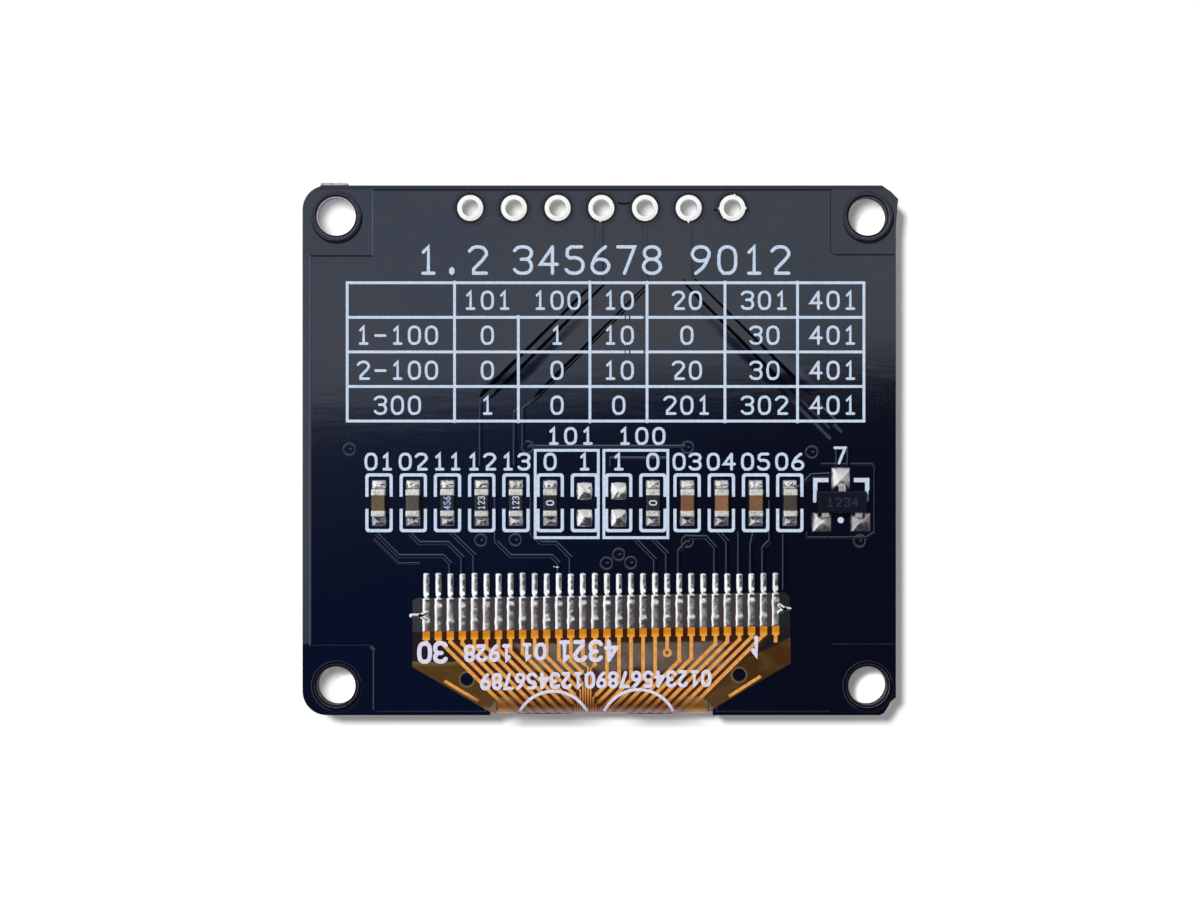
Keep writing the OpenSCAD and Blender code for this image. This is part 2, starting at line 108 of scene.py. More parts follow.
def carryProfile(path, profile, ground=flatBoard, widths=None, closed=False):
    # A closed profile of (across, up) points carried along a plan path with mitred corners.
    # Point = path point + across * width * mitred normal, at height ground(x, y) + up.
    path = np.asarray(path, float)
    count = len(path)
    widths = np.ones(count) if widths is None else np.asarray(widths, float)
    ahead = np.roll(path, -1, axis=0) - path
    ahead /= np.maximum(np.linalg.norm(ahead, axis=1, keepdims=True), 1e-9)
    behind = np.roll(ahead, 1, axis=0)
    if not closed:
        ahead[-1] = behind[-1]
        behind[0] = ahead[0]
    normal = np.stack([-(ahead + behind)[:, 1], (ahead + behind)[:, 0]], axis=1)
    normal /= np.maximum(np.linalg.norm(normal, axis=1, keepdims=True), 1e-9)
    side = np.stack([-ahead[:, 1], ahead[:, 0]], axis=1)
    normal /= np.clip((normal * side).sum(axis=1, keepdims=True), 0.5, 1)
    across = profile[None, :, 0] * widths[:, None]
    plan = path[:, None, :] + normal[:, None, :] * across[..., None]
    height = ground(plan[..., 0], plan[..., 1]) + profile[None, :, 1]
    verts = np.concatenate([plan, height[..., None]], axis=2)
    if closed:
        verts = np.concatenate([verts, verts[:1]], axis=0)
    rows, columns = verts.shape[:2]
    faces = gridFaces(rows, columns, wrapColumns=True)
    if closed:
        last = (rows - 1) * columns
        faces = [[k - last if k >= last else k for k in face] for face in faces]
        return verts[:-1].reshape(-1, 3), faces
    faces.append(list(range(columns))[::-1])
    faces.append(list(range((rows - 1) * columns, rows * columns)))
    return verts.reshape(-1, 3), faces


def strokeProfile(width, height, edge=0.2, sink=0.004):
    # Low stroke with rounded shoulders, seen from its far end.
    half = width / 2
    points = [(half, -sink), (half, 0.35 * height), (half * (1 - edge), height),
              (-half * (1 - edge), height), (-half, 0.35 * height), (-half, -sink)]
    return np.array(points)


def ridgeProfile(width, slope, height, sink=0.004):
    # Flat-topped ridge whose flanks fall over the given slope width.
    half = width / 2
    points = [(half + slope, -sink), (half, height), (-half, height), (-half - slope, -sink)]
    return np.array(points)


def roundedEnds(path, width):
    # The path with three more stations at each end, narrowing like a half circle.
    path = np.asarray(path, float)
    turns = np.radians([88, 60, 30])
    half = width / 2
    startWay = (path[1] - path[0]) / np.linalg.norm(path[1] - path[0])
    endWay = (path[-1] - path[-2]) / np.linalg.norm(path[-1] - path[-2])
    start = path[0] - startWay * (half * np.sin(turns))[:, None]
    end = path[-1] + endWay * (half * np.sin(turns[::-1]))[:, None]
    widths = np.concatenate([np.cos(turns), np.ones(len(path)), np.cos(turns[::-1])])
    return np.concatenate([start, path, end]), widths


def carryRounded(path, width, profile, ground=flatBoard):
    # A stroke with rounded ends.
    way, widths = roundedEnds(path, width)
    return carryProfile(way, profile, ground, widths)


def dome(outline, heights, ground=flatBoard, rings=6, sink=0.005):
    # A closed mound: rim points shrink to the middle while the height follows heights(radius, x, y).
    outline = np.asarray(outline, float)
    middle = outline.mean(axis=0)
    radius = np.sin(np.linspace(0.5 * math.pi, 0, rings + 1))[:-1]
    plan = middle + (outline - middle)[None] * radius[:, None, None]
    x, y = plan[..., 0], plan[..., 1]
    z = ground(x, y) + heights(radius[:, None] + 0 * x, x, y)
    z[0] = ground(x[0], y[0]) - sink
    top = np.array([[*middle, float(ground(middle[0], middle[1]) + heights(0.0, *middle))]])
    verts = np.concatenate([np.stack([x, y, z], axis=2).reshape(-1, 3), top])
    count = len(outline)
    faces = gridFaces(rings, count, wrapColumns=True)
    last = (rings - 1) * count
    faces += [[last + k, last + (k + 1) % count, rings * count] for k in range(count)]
    faces.append(list(range(count))[::-1])
    return verts, faces


def ringOutline(x, y, radiusX, radiusY, count=24, square=0.0):
    # Points round an ellipse, pushed towards its box by square.
    turn = np.linspace(0, 2 * math.pi, count, endpoint=False)
    c, s = np.cos(turn), np.sin(turn)
    push = 1 + square * (1 / np.maximum(abs(c), abs(s)) - 1)
    return np.stack([x + radiusX * c * push, y + radiusY * s * push], axis=1)


def ringBand(x, y, path, radii, heights, count=64):
    # A band round x, y: a cross-section with corners at these radii and heights over the board,
    # carried round the path radius.
    profile = np.stack([path - np.array(radii), heights], axis=1)
    return carryProfile(ringOutline(x, y, path, path, count), profile, closed=True)


# Small shader tools.

class Level:
    # One output of a node tree. Sums and products of levels add the matching math nodes.
    def __init__(self, tree, socket):
        self.tree = tree
        self.socket = socket

    def __add__(self, other):
        return calc("ADD", self, other)

    def __radd__(self, other):
        return calc("ADD", other, self)

    def __sub__(self, other):
        return calc("SUBTRACT", self, other)

    def __rsub__(self, other):
        return calc("SUBTRACT", other, self)

    def __mul__(self, other):
        return calc("MULTIPLY", self, other)

    def __truediv__(self, other):
        return calc("DIVIDE", self, other)

    def __abs__(self):
        return calc("ABSOLUTE", self)


def plug(node, key, value):
    # A level is linked to the input of that name or number, anything else is written into it.
    if isinstance(value, Level):
        value.tree.links.new(value.socket, node.inputs[key])
    else:
        node.inputs[key].default_value = value


def addNode(tree, kind, output, inputs=None, **settings):
    # A new node with its settings and inputs filled in; one of its outputs is handed back.
    node = tree.nodes.new("ShaderNode" + kind)
    for key, value in settings.items():
        setattr(node, key, value)
    for key, value in (inputs or {}).items():
        plug(node, key, value)
    return Level(tree, node.outputs[output])


def newFinish(name):
    # A material, its shader, and the place on the object in millimetres.
    finish = bpy.data.materials.new(name)
    finish.use_nodes = True
    tree = finish.node_tree
    place = addNode(tree, "TexCoord", "Object")
    place = addNode(tree, "Mapping", "Vector", {"Vector": place, "Scale": (1 / mm, 1 / mm, 1 / mm)})
    return finish, tree.nodes["Principled BSDF"], place


def calc(operation, first, second=0.0):
    # One math node; at least one of its two values is a level.
    tree = (first if isinstance(first, Level) else second).tree
    return addNode(tree, "Math", 0, {0: first, 1: second}, operation=operation)


def highest(first, second):
    return calc("MAXIMUM", first, second)


def root(value):
    return calc("SQRT", value)


def fade(value, low, high, toLow=0.0, toHigh=1.0):
    # Smooth step of value from low to high.
    inputs = {"Value": value, "From Min": low, "From Max": high, "To Min": toLow, "To Max": toHigh}
    return addNode(value.tree, "MapRange", "Result", inputs, interpolation_type="SMOOTHSTEP")


def span(value, rise, full, fall, end, level=1):
    # Fades in from rise to full, and out again from fall to end.
    return fade(value, rise, full) * fade(value, fall, end, level, 0)


def blendColour(amount, first, second):
    # First colour where amount is 0, second where it is 1.
    return addNode(amount.tree, "Mix", 2, {"Factor": amount, 6: first, 7: second}, data_type="RGBA")


def noise(place, scale, detail=2.0, roughness=0.5, stretch=None):
    # Cloudy noise from 0 to 1; stretch multiplies the place along each axis.
    if stretch:
        place = addNode(place.tree, "Mapping", "Vector", {"Vector": place, "Scale": stretch})
    inputs = {"Vector": place, "Scale": scale, "Detail": detail, "Roughness": roughness}
    return addNode(place.tree, "TexNoise", "Fac", inputs)


def bump(height, strength, distance, before=None):
    # Surface normal bent by a height, on top of an earlier bump; distance in millimetres.
    inputs = {"Height": height, "Strength": strength, "Distance": distance * mm}
    if before is not None:
        inputs["Normal"] = before
    return addNode(height.tree, "Bump", "Normal", inputs)


def apart(vector):
    # The x, y and z of a vector.
    node = vector.tree.nodes.new("ShaderNodeSeparateXYZ")
    plug(node, 0, vector)
    return [Level(vector.tree, output) for output in node.outputs]


def rayKinds(tree):
    # 1 for rays from the camera; 1 for rays sent on by gloss or glass.
    camera, glossy, through = [addNode(tree, "LightPath", f"Is {kind} Ray")
                               for kind in ("Camera", "Glossy", "Transmission")]
    return camera, highest(glossy, through)


def tone(red, green, blue):
    # Linear colour of a screen colour given in 0 to 255.
    levels = np.array([red, green, blue]) / 255
    linear = np.where(levels > 0.04045, ((levels + 0.055) / 1.055) ** 2.4, levels / 12.92)
    return (*linear.tolist(), 1.0)


def paintNode(name, finish):
    # The finish replaces whatever materials the node came with.
    data = nodes[name].data
    data.materials.clear()
    data.materials.append(finish)


# Finishes of the board.

maskLook = {
    "colour": (0.0008, 0.0032, 0.0165, 1),
    "deep": (0.0008, 0.0015, 0.0085, 1),
    "laminate": (0.66, 0.62, 0.78, 1),
    "laminateDark": (0.30, 0.28, 0.35, 1),
    # painted highlight on the sides of the tracks that face up or left
    "paintedPaleFlank": (0.078, 0.098, 0.120, 1),
    "border": (-16.82, -16.68),
    "gloss": 0.045,
    "shine": 0.66,
    "tints": [(0.74, 0.86, 1.0, 1), (0.93, 0.95, 1.0, 1)],
    "borderTone": tone(66, 70, 82),
    # painted shade on the sloping sides, and painted pale tones on the pour edges below and on the left
    "paintedFlankShade": (0.0006, 0.0009, 0.0030, 1),
    "paintedLowerFlank": tone(44, 50, 64),
    "paintedLeftFlankLight": tone(94, 100, 114),
    # direction, level and half width of the two slanting tracks beside which the lacquer sags
    "lines": [(1, 9.68, 0.27), (-1, 15.05, 0.33)],
}


def maskFinish(name, flanks="", lustre=1.0):
    # Dark glossy mask on the faces, woven laminate on cut edges and holes. The sloping sides of a
    # ridge get painted light and shade by the way they face: "tracks" are painted near black above and
    # pale below on the sides that face up or left, "pour" edges are painted pale on the left and dark
    # towards the top.
    finish, shader, place = newFinish(name)
    look = maskLook
    x, y = apart(place)[:2]
    cloud = noise(place, 0.12, 3)
    drift = fade(x * 0.03 + cloud, 0.2, 1.0)
    mask = blendColour(drift, look["colour"], look["deep"])
    weave = noise(place, 3.0, 4, 0.7, stretch=(1, 1, 6))
    laminate = blendColour(fade(weave, 0.35, 0.7), look["laminateDark"], look["laminate"])
    toX, toY, up = apart(addNode(place.tree, "NewGeometry", "True Normal"))
    rim = fade(y, 15.11, 15.16, 1.0, 0.72)
    shine = rim * (look["shine"] * lustre)
    # bare laminate under the lacquer makes the left border paler
    wide = noise(place, 0.25, 2)
    border = fade(x, *look["border"], 1.0, 0.0) * fade(y + wide * 6.0, -13.0, 2.0, 0.55, 0.95)
    border = border * fade(abs(y), 11.2, 11.3, 1.0, 0.0)
    mask = blendColour(border, mask, look["borderTone"])
    shine = shine * (1.0 - border)
    # painted highlight and painted shade on the sloping sides of the ridges, chosen by the way they face
    if flanks:
        flank = fade(up, 0.9986, 0.9996, 1.0, 0.0)
        level = root(toX * toX + (toY * toY + 1e-06))
        left = highest(toX * -1.0 / level, 0.0)
        ahead = highest(toY / level, 0.0)
        black = look["paintedFlankShade"]
        if flanks == "tracks":
            behind = highest(toY * -1.0 / level, 0.0)
            faint = behind * ((1.0 - left) * 0.3)
            lit = left * 0.6 + ahead + faint
            pale = blendColour(calc("MINIMUM", lit, 1.0), mask, look["paintedPaleFlank"])
            side = blendColour(fade(y, 2.4, 3.4), pale, black)
            dull = 0.96
        else:
            rise = fade(left, 0.8, 0.9) * fade(x, -6.0, -5.9, 1.0, 0.0)
            low = blendColour(fade(y, -0.1, 0.1, 1.0, 0.0), black, look["paintedLowerFlank"])
            side = blendColour(rise, low, look["paintedLeftFlankLight"])
            dull = highest(rise, fade(ahead, 0.8, 0.9))
        mask = blendColour(flank * dull, mask, side)
        shine = shine * (1.0 - flank * dull)
    plug(shader, "Specular IOR Level", shine)
    cut = fade(abs(up), 0.35, 0.6, 1.0, 0.0)
    broken = fade(y, 15.405, 15.42)
    bare = highest(cut, broken)
    plug(shader, "Base Color", blendColour(bare, mask, laminate))
    mottle = noise(place, 2.2, 4, 0.65)
    patch = fade(mottle * 0.5 + cloud, 0.55, 1.0)
    plug(shader, "Specular Tint", blendColour(patch, *look["tints"]))
    speck = noise(place, 9, 2)
    plug(shader, "Roughness", highest(fade(speck, 0.3, 0.8, look["gloss"], 0.08), bare * 0.75))
    # the lacquer sags beside the long slanting tracks, and dries in flat ripples
    sag = 0.0
    for way, level, half in look["lines"]:
        gap = abs((y + x * -way - level) * 0.707) - half
        sag = sag + span(y, 3.4, 4.6, 8.5, 9.2) * fade(gap, 0.0, 0.75, 1.0, 0.0)
    ripple = noise(place, 1.0, 3, 0.55, stretch=(0.3, 1.5, 1))
    wave = bump(noise(place, 0.3, 2), 1.0, 0.0035)
    streak = bump(ripple, 1.0, 0.0013, before=wave)
    slope = bump(sag, 1.0, 0.008, before=streak)
    peel = bump(noise(place, 3.0, 2), 0.5, 0.0004, before=slope)
    fibre = bump(weave * bare, 0.8, 0.05, before=peel)
    plug(shader, "Normal", fibre)
    return finish


def inkFinish(name, dark, light, gaps=()):
    # Screen-printed ink with a thin, uneven lay-down; it is missing at the given x positions.
    finish, shader, place = newFinish(name)
    grain = noise(place, 6, 3)
    colour = blendColour(fade(grain, 0.25, 0.75), dark, light)
    x, y = apart(place)[:2]
    within = span(y, 4.8, 4.9, 8.5, 8.6)
    for middle, half in gaps:
        near = abs(x - middle)
        gap = fade(near, half, half + 0.03, 1.0, 0.0) * within
        colour = blendColour(gap, colour, tone(40, 46, 60))
    plug(shader, "Base Color", colour)
    plug(shader, "Roughness", 0.5)
    plug(shader, "Normal", bump(grain, 0.5, 0.006))
    return finish


def metalFinish(name, colour, low, high, grainSize, grainDepth, tarnish=None, metal=1.0):
    # Tin or solder: metal whose roughness follows a grain, with a fine bump and faint tarnish.
    finish, shader, place = newFinish(name)
    grain = noise(place, grainSize, 4, 0.6)
    stain = noise(place, grainSize * 0.3, 2)
    darker = tarnish or tuple(0.72 * c for c in colour[:3]) + (1,)
    shade = blendColour(fade(stain, 0.45, 0.75), colour, darker)
    plug(shader, "Base Color", shade)
    plug(shader, "Metallic", metal)
    plug(shader, "Roughness", fade(grain, 0.3, 0.75, low, high))
    plug(shader, "Normal", bump(grain, 0.6, grainDepth))
    return finish


def plainFinish(name, light, dark, rough, grainSize=8, grainDepth=0.004, shine=0.5):
    # Matt body: two close tones mixed by a grain that also roughens the surface.
    finish, shader, place = newFinish(name)
    grain = noise(place, grainSize, 4, 0.6)
    plug(shader, "Base Color", blendColour(fade(grain, 0.3, 0.7), dark, light))
    plug(shader, "Roughness", fade(grain, 0.2, 0.8, rough, min(rough + 0.15, 1)))
    plug(shader, "Specular IOR Level", shine)
    plug(shader, "Normal", bump(grain, 0.5, grainDepth))
    return finish


mask = maskFinish("nightBlueMask")
maskOverCopper = maskFinish("maskOverCopper", "tracks")
maskOverPour = maskFinish("maskOverPour", "pour")
ringMask = maskFinish("ringMask", lustre=0.72)
ink = inkFinish("whiteInk", tone(186, 203, 228), tone(208, 224, 244))
tableInk = inkFinish("tableInk", tone(188, 205, 229), tone(210, 225, 245),
                     [(1.52, 0.02), (1.77, 0.03), (2.63, 0.04)])
cableInk = inkFinish("cableInk", tone(208, 204, 226), tone(230, 226, 244))
blueInk = inkFinish("blueInk", tone(120, 142, 196), tone(176, 192, 226))
faintInk = inkFinish("faintMark", tone(22, 26, 46), tone(32, 36, 56))
solder = metalFinish("softSolder", (0.86, 0.85, 0.83, 1), 0.16, 0.38, 5.0, 0.014, (0.5, 0.49, 0.49, 1))
# a darker copy of the solder for the lower drops, painted shade
paintedShadeSolder = metalFinish("paintedShadeSolder", (0.62, 0.60, 0.62, 1), 0.2, 0.45, 5.0, 0.012,
                         (0.26, 0.25, 0.27, 1))
satinSolder = metalFinish("satinSolder", (0.80, 0.79, 0.78, 1), 0.26, 0.44, 5.0, 0.008,
                          (0.56, 0.55, 0.56, 1))
darkSolder = metalFinish("darkSolder", (0.46, 0.42, 0.47, 1), 0.26, 0.44, 7.0, 0.016,
                         (0.24, 0.21, 0.25, 1))
fingerTin = metalFinish("fingerTin", (0.88, 0.88, 0.87, 1), 0.14, 0.26, 2.5, 0.004)
padTin = metalFinish("padTin", (0.99, 0.99, 0.97, 1), 0.3, 0.4, 4.0, 0.0005, (0.96, 0.96, 0.94, 1), 0.1)
capTin = metalFinish("capTin", (0.88, 0.86, 0.83, 1), 0.22, 0.5, 8.0, 0.04, (0.5, 0.48, 0.45, 1), 0.7)
leadTin = metalFinish("leadTin", (0.8, 0.8, 0.8, 1), 0.3, 0.4, 5.0, 0.001)

paintNode("circuit_board", mask)
paintNode("board_legend", tableInk)
for name in nodes:
    if name.startswith("header_eyelet"):
        paintNode(name, padTin)
    elif name.startswith("regulator_lead"):
        paintNode(name, leadTin)
    elif "terminals" in name:
        paintNode(name, capTin)
for name in ("board_finger_pads", "flex_finger_solder", "chip_solder_fillets", "jumper_pad_solder",
             "regulator_solder"):
    paintNode(name, solder)

ceramicTones = [(92, 80, 58), (74, 72, 66), (116, 80, 58), (134, 92, 68), (116, 84, 56), (58, 54, 46)]
for place, (red, green, blue) in enumerate(ceramicTones):
    light = tone(red + 8, green + 7, blue + 6)
    dark = tone(red - 10, green - 10, blue - 9)
    body = plainFinish(f"ceramic{place + 1}", light, dark, 0.42, 7, 0.006)
    paintNode(f"capacitor_body_{place + 1}", body)
overcoat = plainFinish("blackOvercoat", tone(24, 24, 34), tone(10, 10, 18), 0.35, 10, 0.004)
coatedSides = plainFinish("coatedSides", tone(52, 50, 56), tone(18, 17, 24), 0.4, 9, 0.01)
for place in range(1, 6):
    paintNode(f"resistor_body_{place}", coatedSides)
    paintNode(f"resistor_coat_{place}", overcoat)
moulding = plainFinish("mouldedCase", tone(7, 10, 28), tone(2, 4, 14), 0.55, 14, 0.006, 0.2)
paintNode("regulator_body", moulding)
print("board finishes ready")


# Finishes of the cable.

cableSlant = 0.0155

cableLook = {
    "tinEdge": -10.40,
    "shoulderEdges": (-20.3, 20.45),
    "recess": (0.13, -15.4, 6.1, 0.72, 0.65),
    "holes": [(-7.69, -13.31), (8.13, -13.05)],
    "edges": [(-10.83, -12.68, -0.58), (11.17, -12.44, 0.593)],
    "tones": {
        "fanDark": (56, 30, 22), "fanPale": (66, 42, 38), "fanLow": (70, 38, 16),
        "shoulderLeft": (80, 55, 24), "shoulderRight": (66, 41, 15), "shoulderCloud": (86, 62, 33),
        "pocketDark": (90, 80, 70), "pocketPale": (108, 94, 88), "olive": (124, 104, 66),
        "closeFilm": (30, 25, 27), "tabBand": (54, 27, 8), "tinLeft": (51, 53, 58),
        "tinRight": (31, 31, 40), "tinEnds": (64, 55, 58), "paintedRecessGlow": (124, 106, 76),
        "paintedLightThroughLow": (184, 124, 22), "paintedLightThroughHigh": (118, 72, 4), "lip": (142, 100, 88),
        "holeRing": (112, 104, 74), "holeDark": (10, 11, 22), "paintedOutlineHighlight": (112, 94, 58),
        "runDark": (216, 142, 62), "runPale": (236, 170, 88), "paintedBendShade": (128, 70, 28),
        "tabEdge": (240, 172, 66), "tab": (204, 122, 14), "tabCloud": (228, 154, 44),
        "paintedLipReflection": (164, 108, 94),
    },
}
cableTones = {name: tone(*levels) for name, levels in cableLook["tones"].items()}


def filmFinish():
    # Amber film over the dark board, tinted by what lies beneath: tin plate, adhesive or open air,
    # where the bright amber is painted light from below. Painted pinkish reflection where it turns
    # down, painted highlight along its outline.
    finish, shader, place = newFinish("amberFilm")
    look = cableLook
    x, y = apart(place)[:2]
    tilted = y - x * cableSlant
    wander = noise(place, 0.7, 3)
    wiggle = (wander - 0.5) * 0.9
    small = wiggle * 0.35
    off = abs(x)
    # brown shoulders left and right of the fan, darker film inside it
    leftEdge, rightEdge = look["shoulderEdges"]
    leftOut = fade(x + y + small, leftEdge - 0.3, leftEdge, 1, 0)
    rightOut = fade(x - y - small, rightEdge, rightEdge + 0.3)
    shoulder = highest(leftOut, rightOut)
    fan = blendColour(fade(wander, 0.35, 0.65), cableTones["fanDark"], cableTones["fanPale"])
    fan = blendColour(fade(y, -14.2, -13.6), cableTones["fanLow"], fan)
    brown = blendColour(fade(x, -2, 2), cableTones["shoulderLeft"], cableTones["shoulderRight"])
    brown = blendColour(fade(noise(place, 0.9, 4), 0.35, 0.7), brown, cableTones["shoulderCloud"])
    colour = blendColour(shoulder, fan, brown)
    # grey air pockets between the straight runs, with a slanting left end
    leftEnd = fade(x + y * 0.9 + wiggle, -15.4, -15.0)
    rightEnd = fade(x + wiggle, 7.0, 7.4, 1, 0)
    lowEnd = fade(tilted + wiggle, -12.95, -12.6)
    pocket = leftEnd * rightEnd * lowEnd * (1 - shoulder)
    patches = fade(noise(place, 1.3, 3), 0.35, 0.65)
    grey = blendColour(patches, cableTones["pocketDark"], cableTones["pocketPale"])
    colour = blendColour(pocket, colour, grey)
    # the film lies close to the dark mask beside the outer tabs
    leftClose = leftOut * fade(y + small, -12.32, -12.22)
    rightClose = rightOut * fade(y - x * 0.457 + small, -16.05, -15.95)
    olive = leftOut * fade(y + small, -12.6, -12.3)
    colour = blendColour(olive * 0.55, colour, cableTones["olive"])
    colour = blendColour(highest(leftClose, rightClose), colour, cableTones["closeFilm"])
    # dark band under the tabs
    band = fade(tilted + small, -11.3, -11.1)
    colour = blendColour(band * (1 - shoulder), colour, cableTones["tabBand"])
    # tinned zone, cooler towards both ends
    ends = blendColour(fade(x, -2, 2), cableTones["tinLeft"], cableTones["tinRight"])
    tinned = blendColour(fade(off, 9.9, 10.4), cableTones["tinEnds"], ends)
    colour = blendColour(fade(tilted, look["tinEdge"] - 0.02, look["tinEdge"] + 0.02), colour, tinned)
    # distance from the rounded recess in the board edge
    middleX, middleY, halfX, halfY, corner = look["recess"]
    outX = highest(abs(x - middleX) - (halfX - corner), 0.0)
    outY = highest(abs(y - middleY) - (halfY - corner), 0.0)
    away = root(outX * outX + outY * outY) - corner
    # painted light: a pale glow round the open recess and bright amber over it, light from below seen
    # through the film
    atSide = fade(off, 4.6, 5.4)
    paintedGlow = fade(away, 0.3, 0.48, 1, 0) * atSide
    colour = blendColour(paintedGlow * 0.7, colour, cableTones["paintedRecessGlow"])
    gap = fade(away, -0.04, 0.06, 1, 0) * atSide
    amber = blendColour(fade(y, -15.2, -14.75), cableTones["paintedLightThroughLow"], cableTones["paintedLightThroughHigh"])
    colour = blendColour(gap, colour, amber)
    # painted pinkish reflection where the film turns down over the edge
    lip = fade(y, -15.1, -14.8, 1, 0) * (1 - gap)
    colour = blendColour(lip * 0.7, colour, cableTones["lip"])
    # pale rim round both holes, and a painted highlight along the outline
    for holeX, holeY in look["holes"]:
        sideX = x - holeX
        sideY = y - holeY
        far = root(sideX * sideX + sideY * sideY)
        ring = fade(far, 0.44, 0.52, 1, 0)
        colour = blendColour(ring * 0.6, colour, cableTones["holeRing"])
        colour = blendColour(fade(far, 0.36, 0.39, 1, 0), colour, cableTones["holeDark"])
    # painted highlight along the film's outline
    for startX, startY, rise in look["edges"]:
        start = startY - rise * startX
        edge = fade(y - x * rise, start + 0.03, start + 0.09, 0.6, 0)
        colour = blendColour(edge, colour, cableTones["paintedOutlineHighlight"])
    plug(shader, "Base Color", colour)
    plug(shader, "Roughness", 0.16)
    plug(shader, "Specular IOR Level", 0.35)
    swell = bump(noise(place, 0.5, 2), 0.6, 0.02)
    plug(shader, "Normal", bump(noise(place, 14, 2), 0.15, 0.002, before=swell))
    return finish


def copperFinish():
    # Copper seen through amber film: bright orange runs and deeper colour on the tabs, with painted
    # shade where the runs turn down near the fold and a painted pinkish reflection at the lip.
    finish, shader, place = newFinish("amberCopper")
    x, y = apart(place)[:2]
    tilted = y - x * cableSlant
    tabs = fade(tilted, -10.98, -10.82)
    grain = noise(place, 4, 3)
    run = blendColour(fade(grain, 0.3, 0.7), cableTones["runDark"], cableTones["runPale"])
    # painted shade where the runs turn down towards the fold
    run = blendColour(fade(y, -14.9, -13.9, 0.9, 0.0), run, cableTones["paintedBendShade"])
    tab = blendColour(fade(tilted, -10.92, -10.6), cableTones["tabEdge"], cableTones["tab"])
    tab = blendColour(fade(grain, 0.45, 0.75, 0.0, 0.6), tab, cableTones["tabCloud"])
    colour = blendColour(tabs, run, tab)
    # painted pinkish reflection along the lip
    low = fade(y, -15.15, -14.85, 1, 0)
    colour = blendColour(low * 0.85, colour, cableTones["paintedLipReflection"])
    plug(shader, "Base Color", colour)
    plug(shader, "Roughness", 0.3)
    plug(shader, "Normal", bump(grain, 0.4, 0.006))
    return finish


film = filmFinish()
copper = copperFinish()
paintNode("flex_film", film)
paintNode("flex_traces", copper)
print("cable finishes ready")


# Finishes of the display stack.

def glassFinish():
    # Clear soda glass with a faint green body and hair-fine scuffs.
    finish, shader, place = newFinish("panelGlass")
    plug(shader, "Base Color", (0.93, 0.98, 0.96, 1))
    plug(shader, "Transmission Weight", 1.0)
    plug(shader, "IOR", 1.5)
    scuff = noise(place, 3, 5, 0.7, stretch=(1, 8, 1))
    plug(shader, "Roughness", fade(scuff, 0.6, 0.8, 0.01, 0.12))
    return finish


paintNode("front_glass", glassFinish())
paintNode("rear_glass", glassFinish())
# node: finish, light and dark tone, roughness, and where they differ grain size and depth
stackFinishes = {
    "polarizer": ("polarizer", (0.012, 0.013, 0.016, 1), (0.008, 0.008, 0.011, 1), 0.06, 2, 0.001),
    "emitter_film": ("emitterFilm", (0.05, 0.055, 0.06, 1), (0.03, 0.03, 0.035, 1), 0.2),
    "perimeter_seal": ("sealBead", tone(196, 190, 172), tone(170, 160, 140), 0.6),
    "desiccant_sheet": ("desiccant", tone(232, 230, 224), tone(206, 204, 198), 0.9, 4, 0.02),
    "driver_chip": ("driverSilicon", tone(52, 54, 62), tone(36, 38, 46), 0.15, 3, 0.001),
    "foam_tape": ("foamTape", tone(30, 30, 32), tone(16, 16, 17), 0.9, 12, 0.03),
}
for name, looks in stackFinishes.items():
    paintNode(name, plainFinish(*looks))
print("display finishes ready")


# Raised copper under the mask.

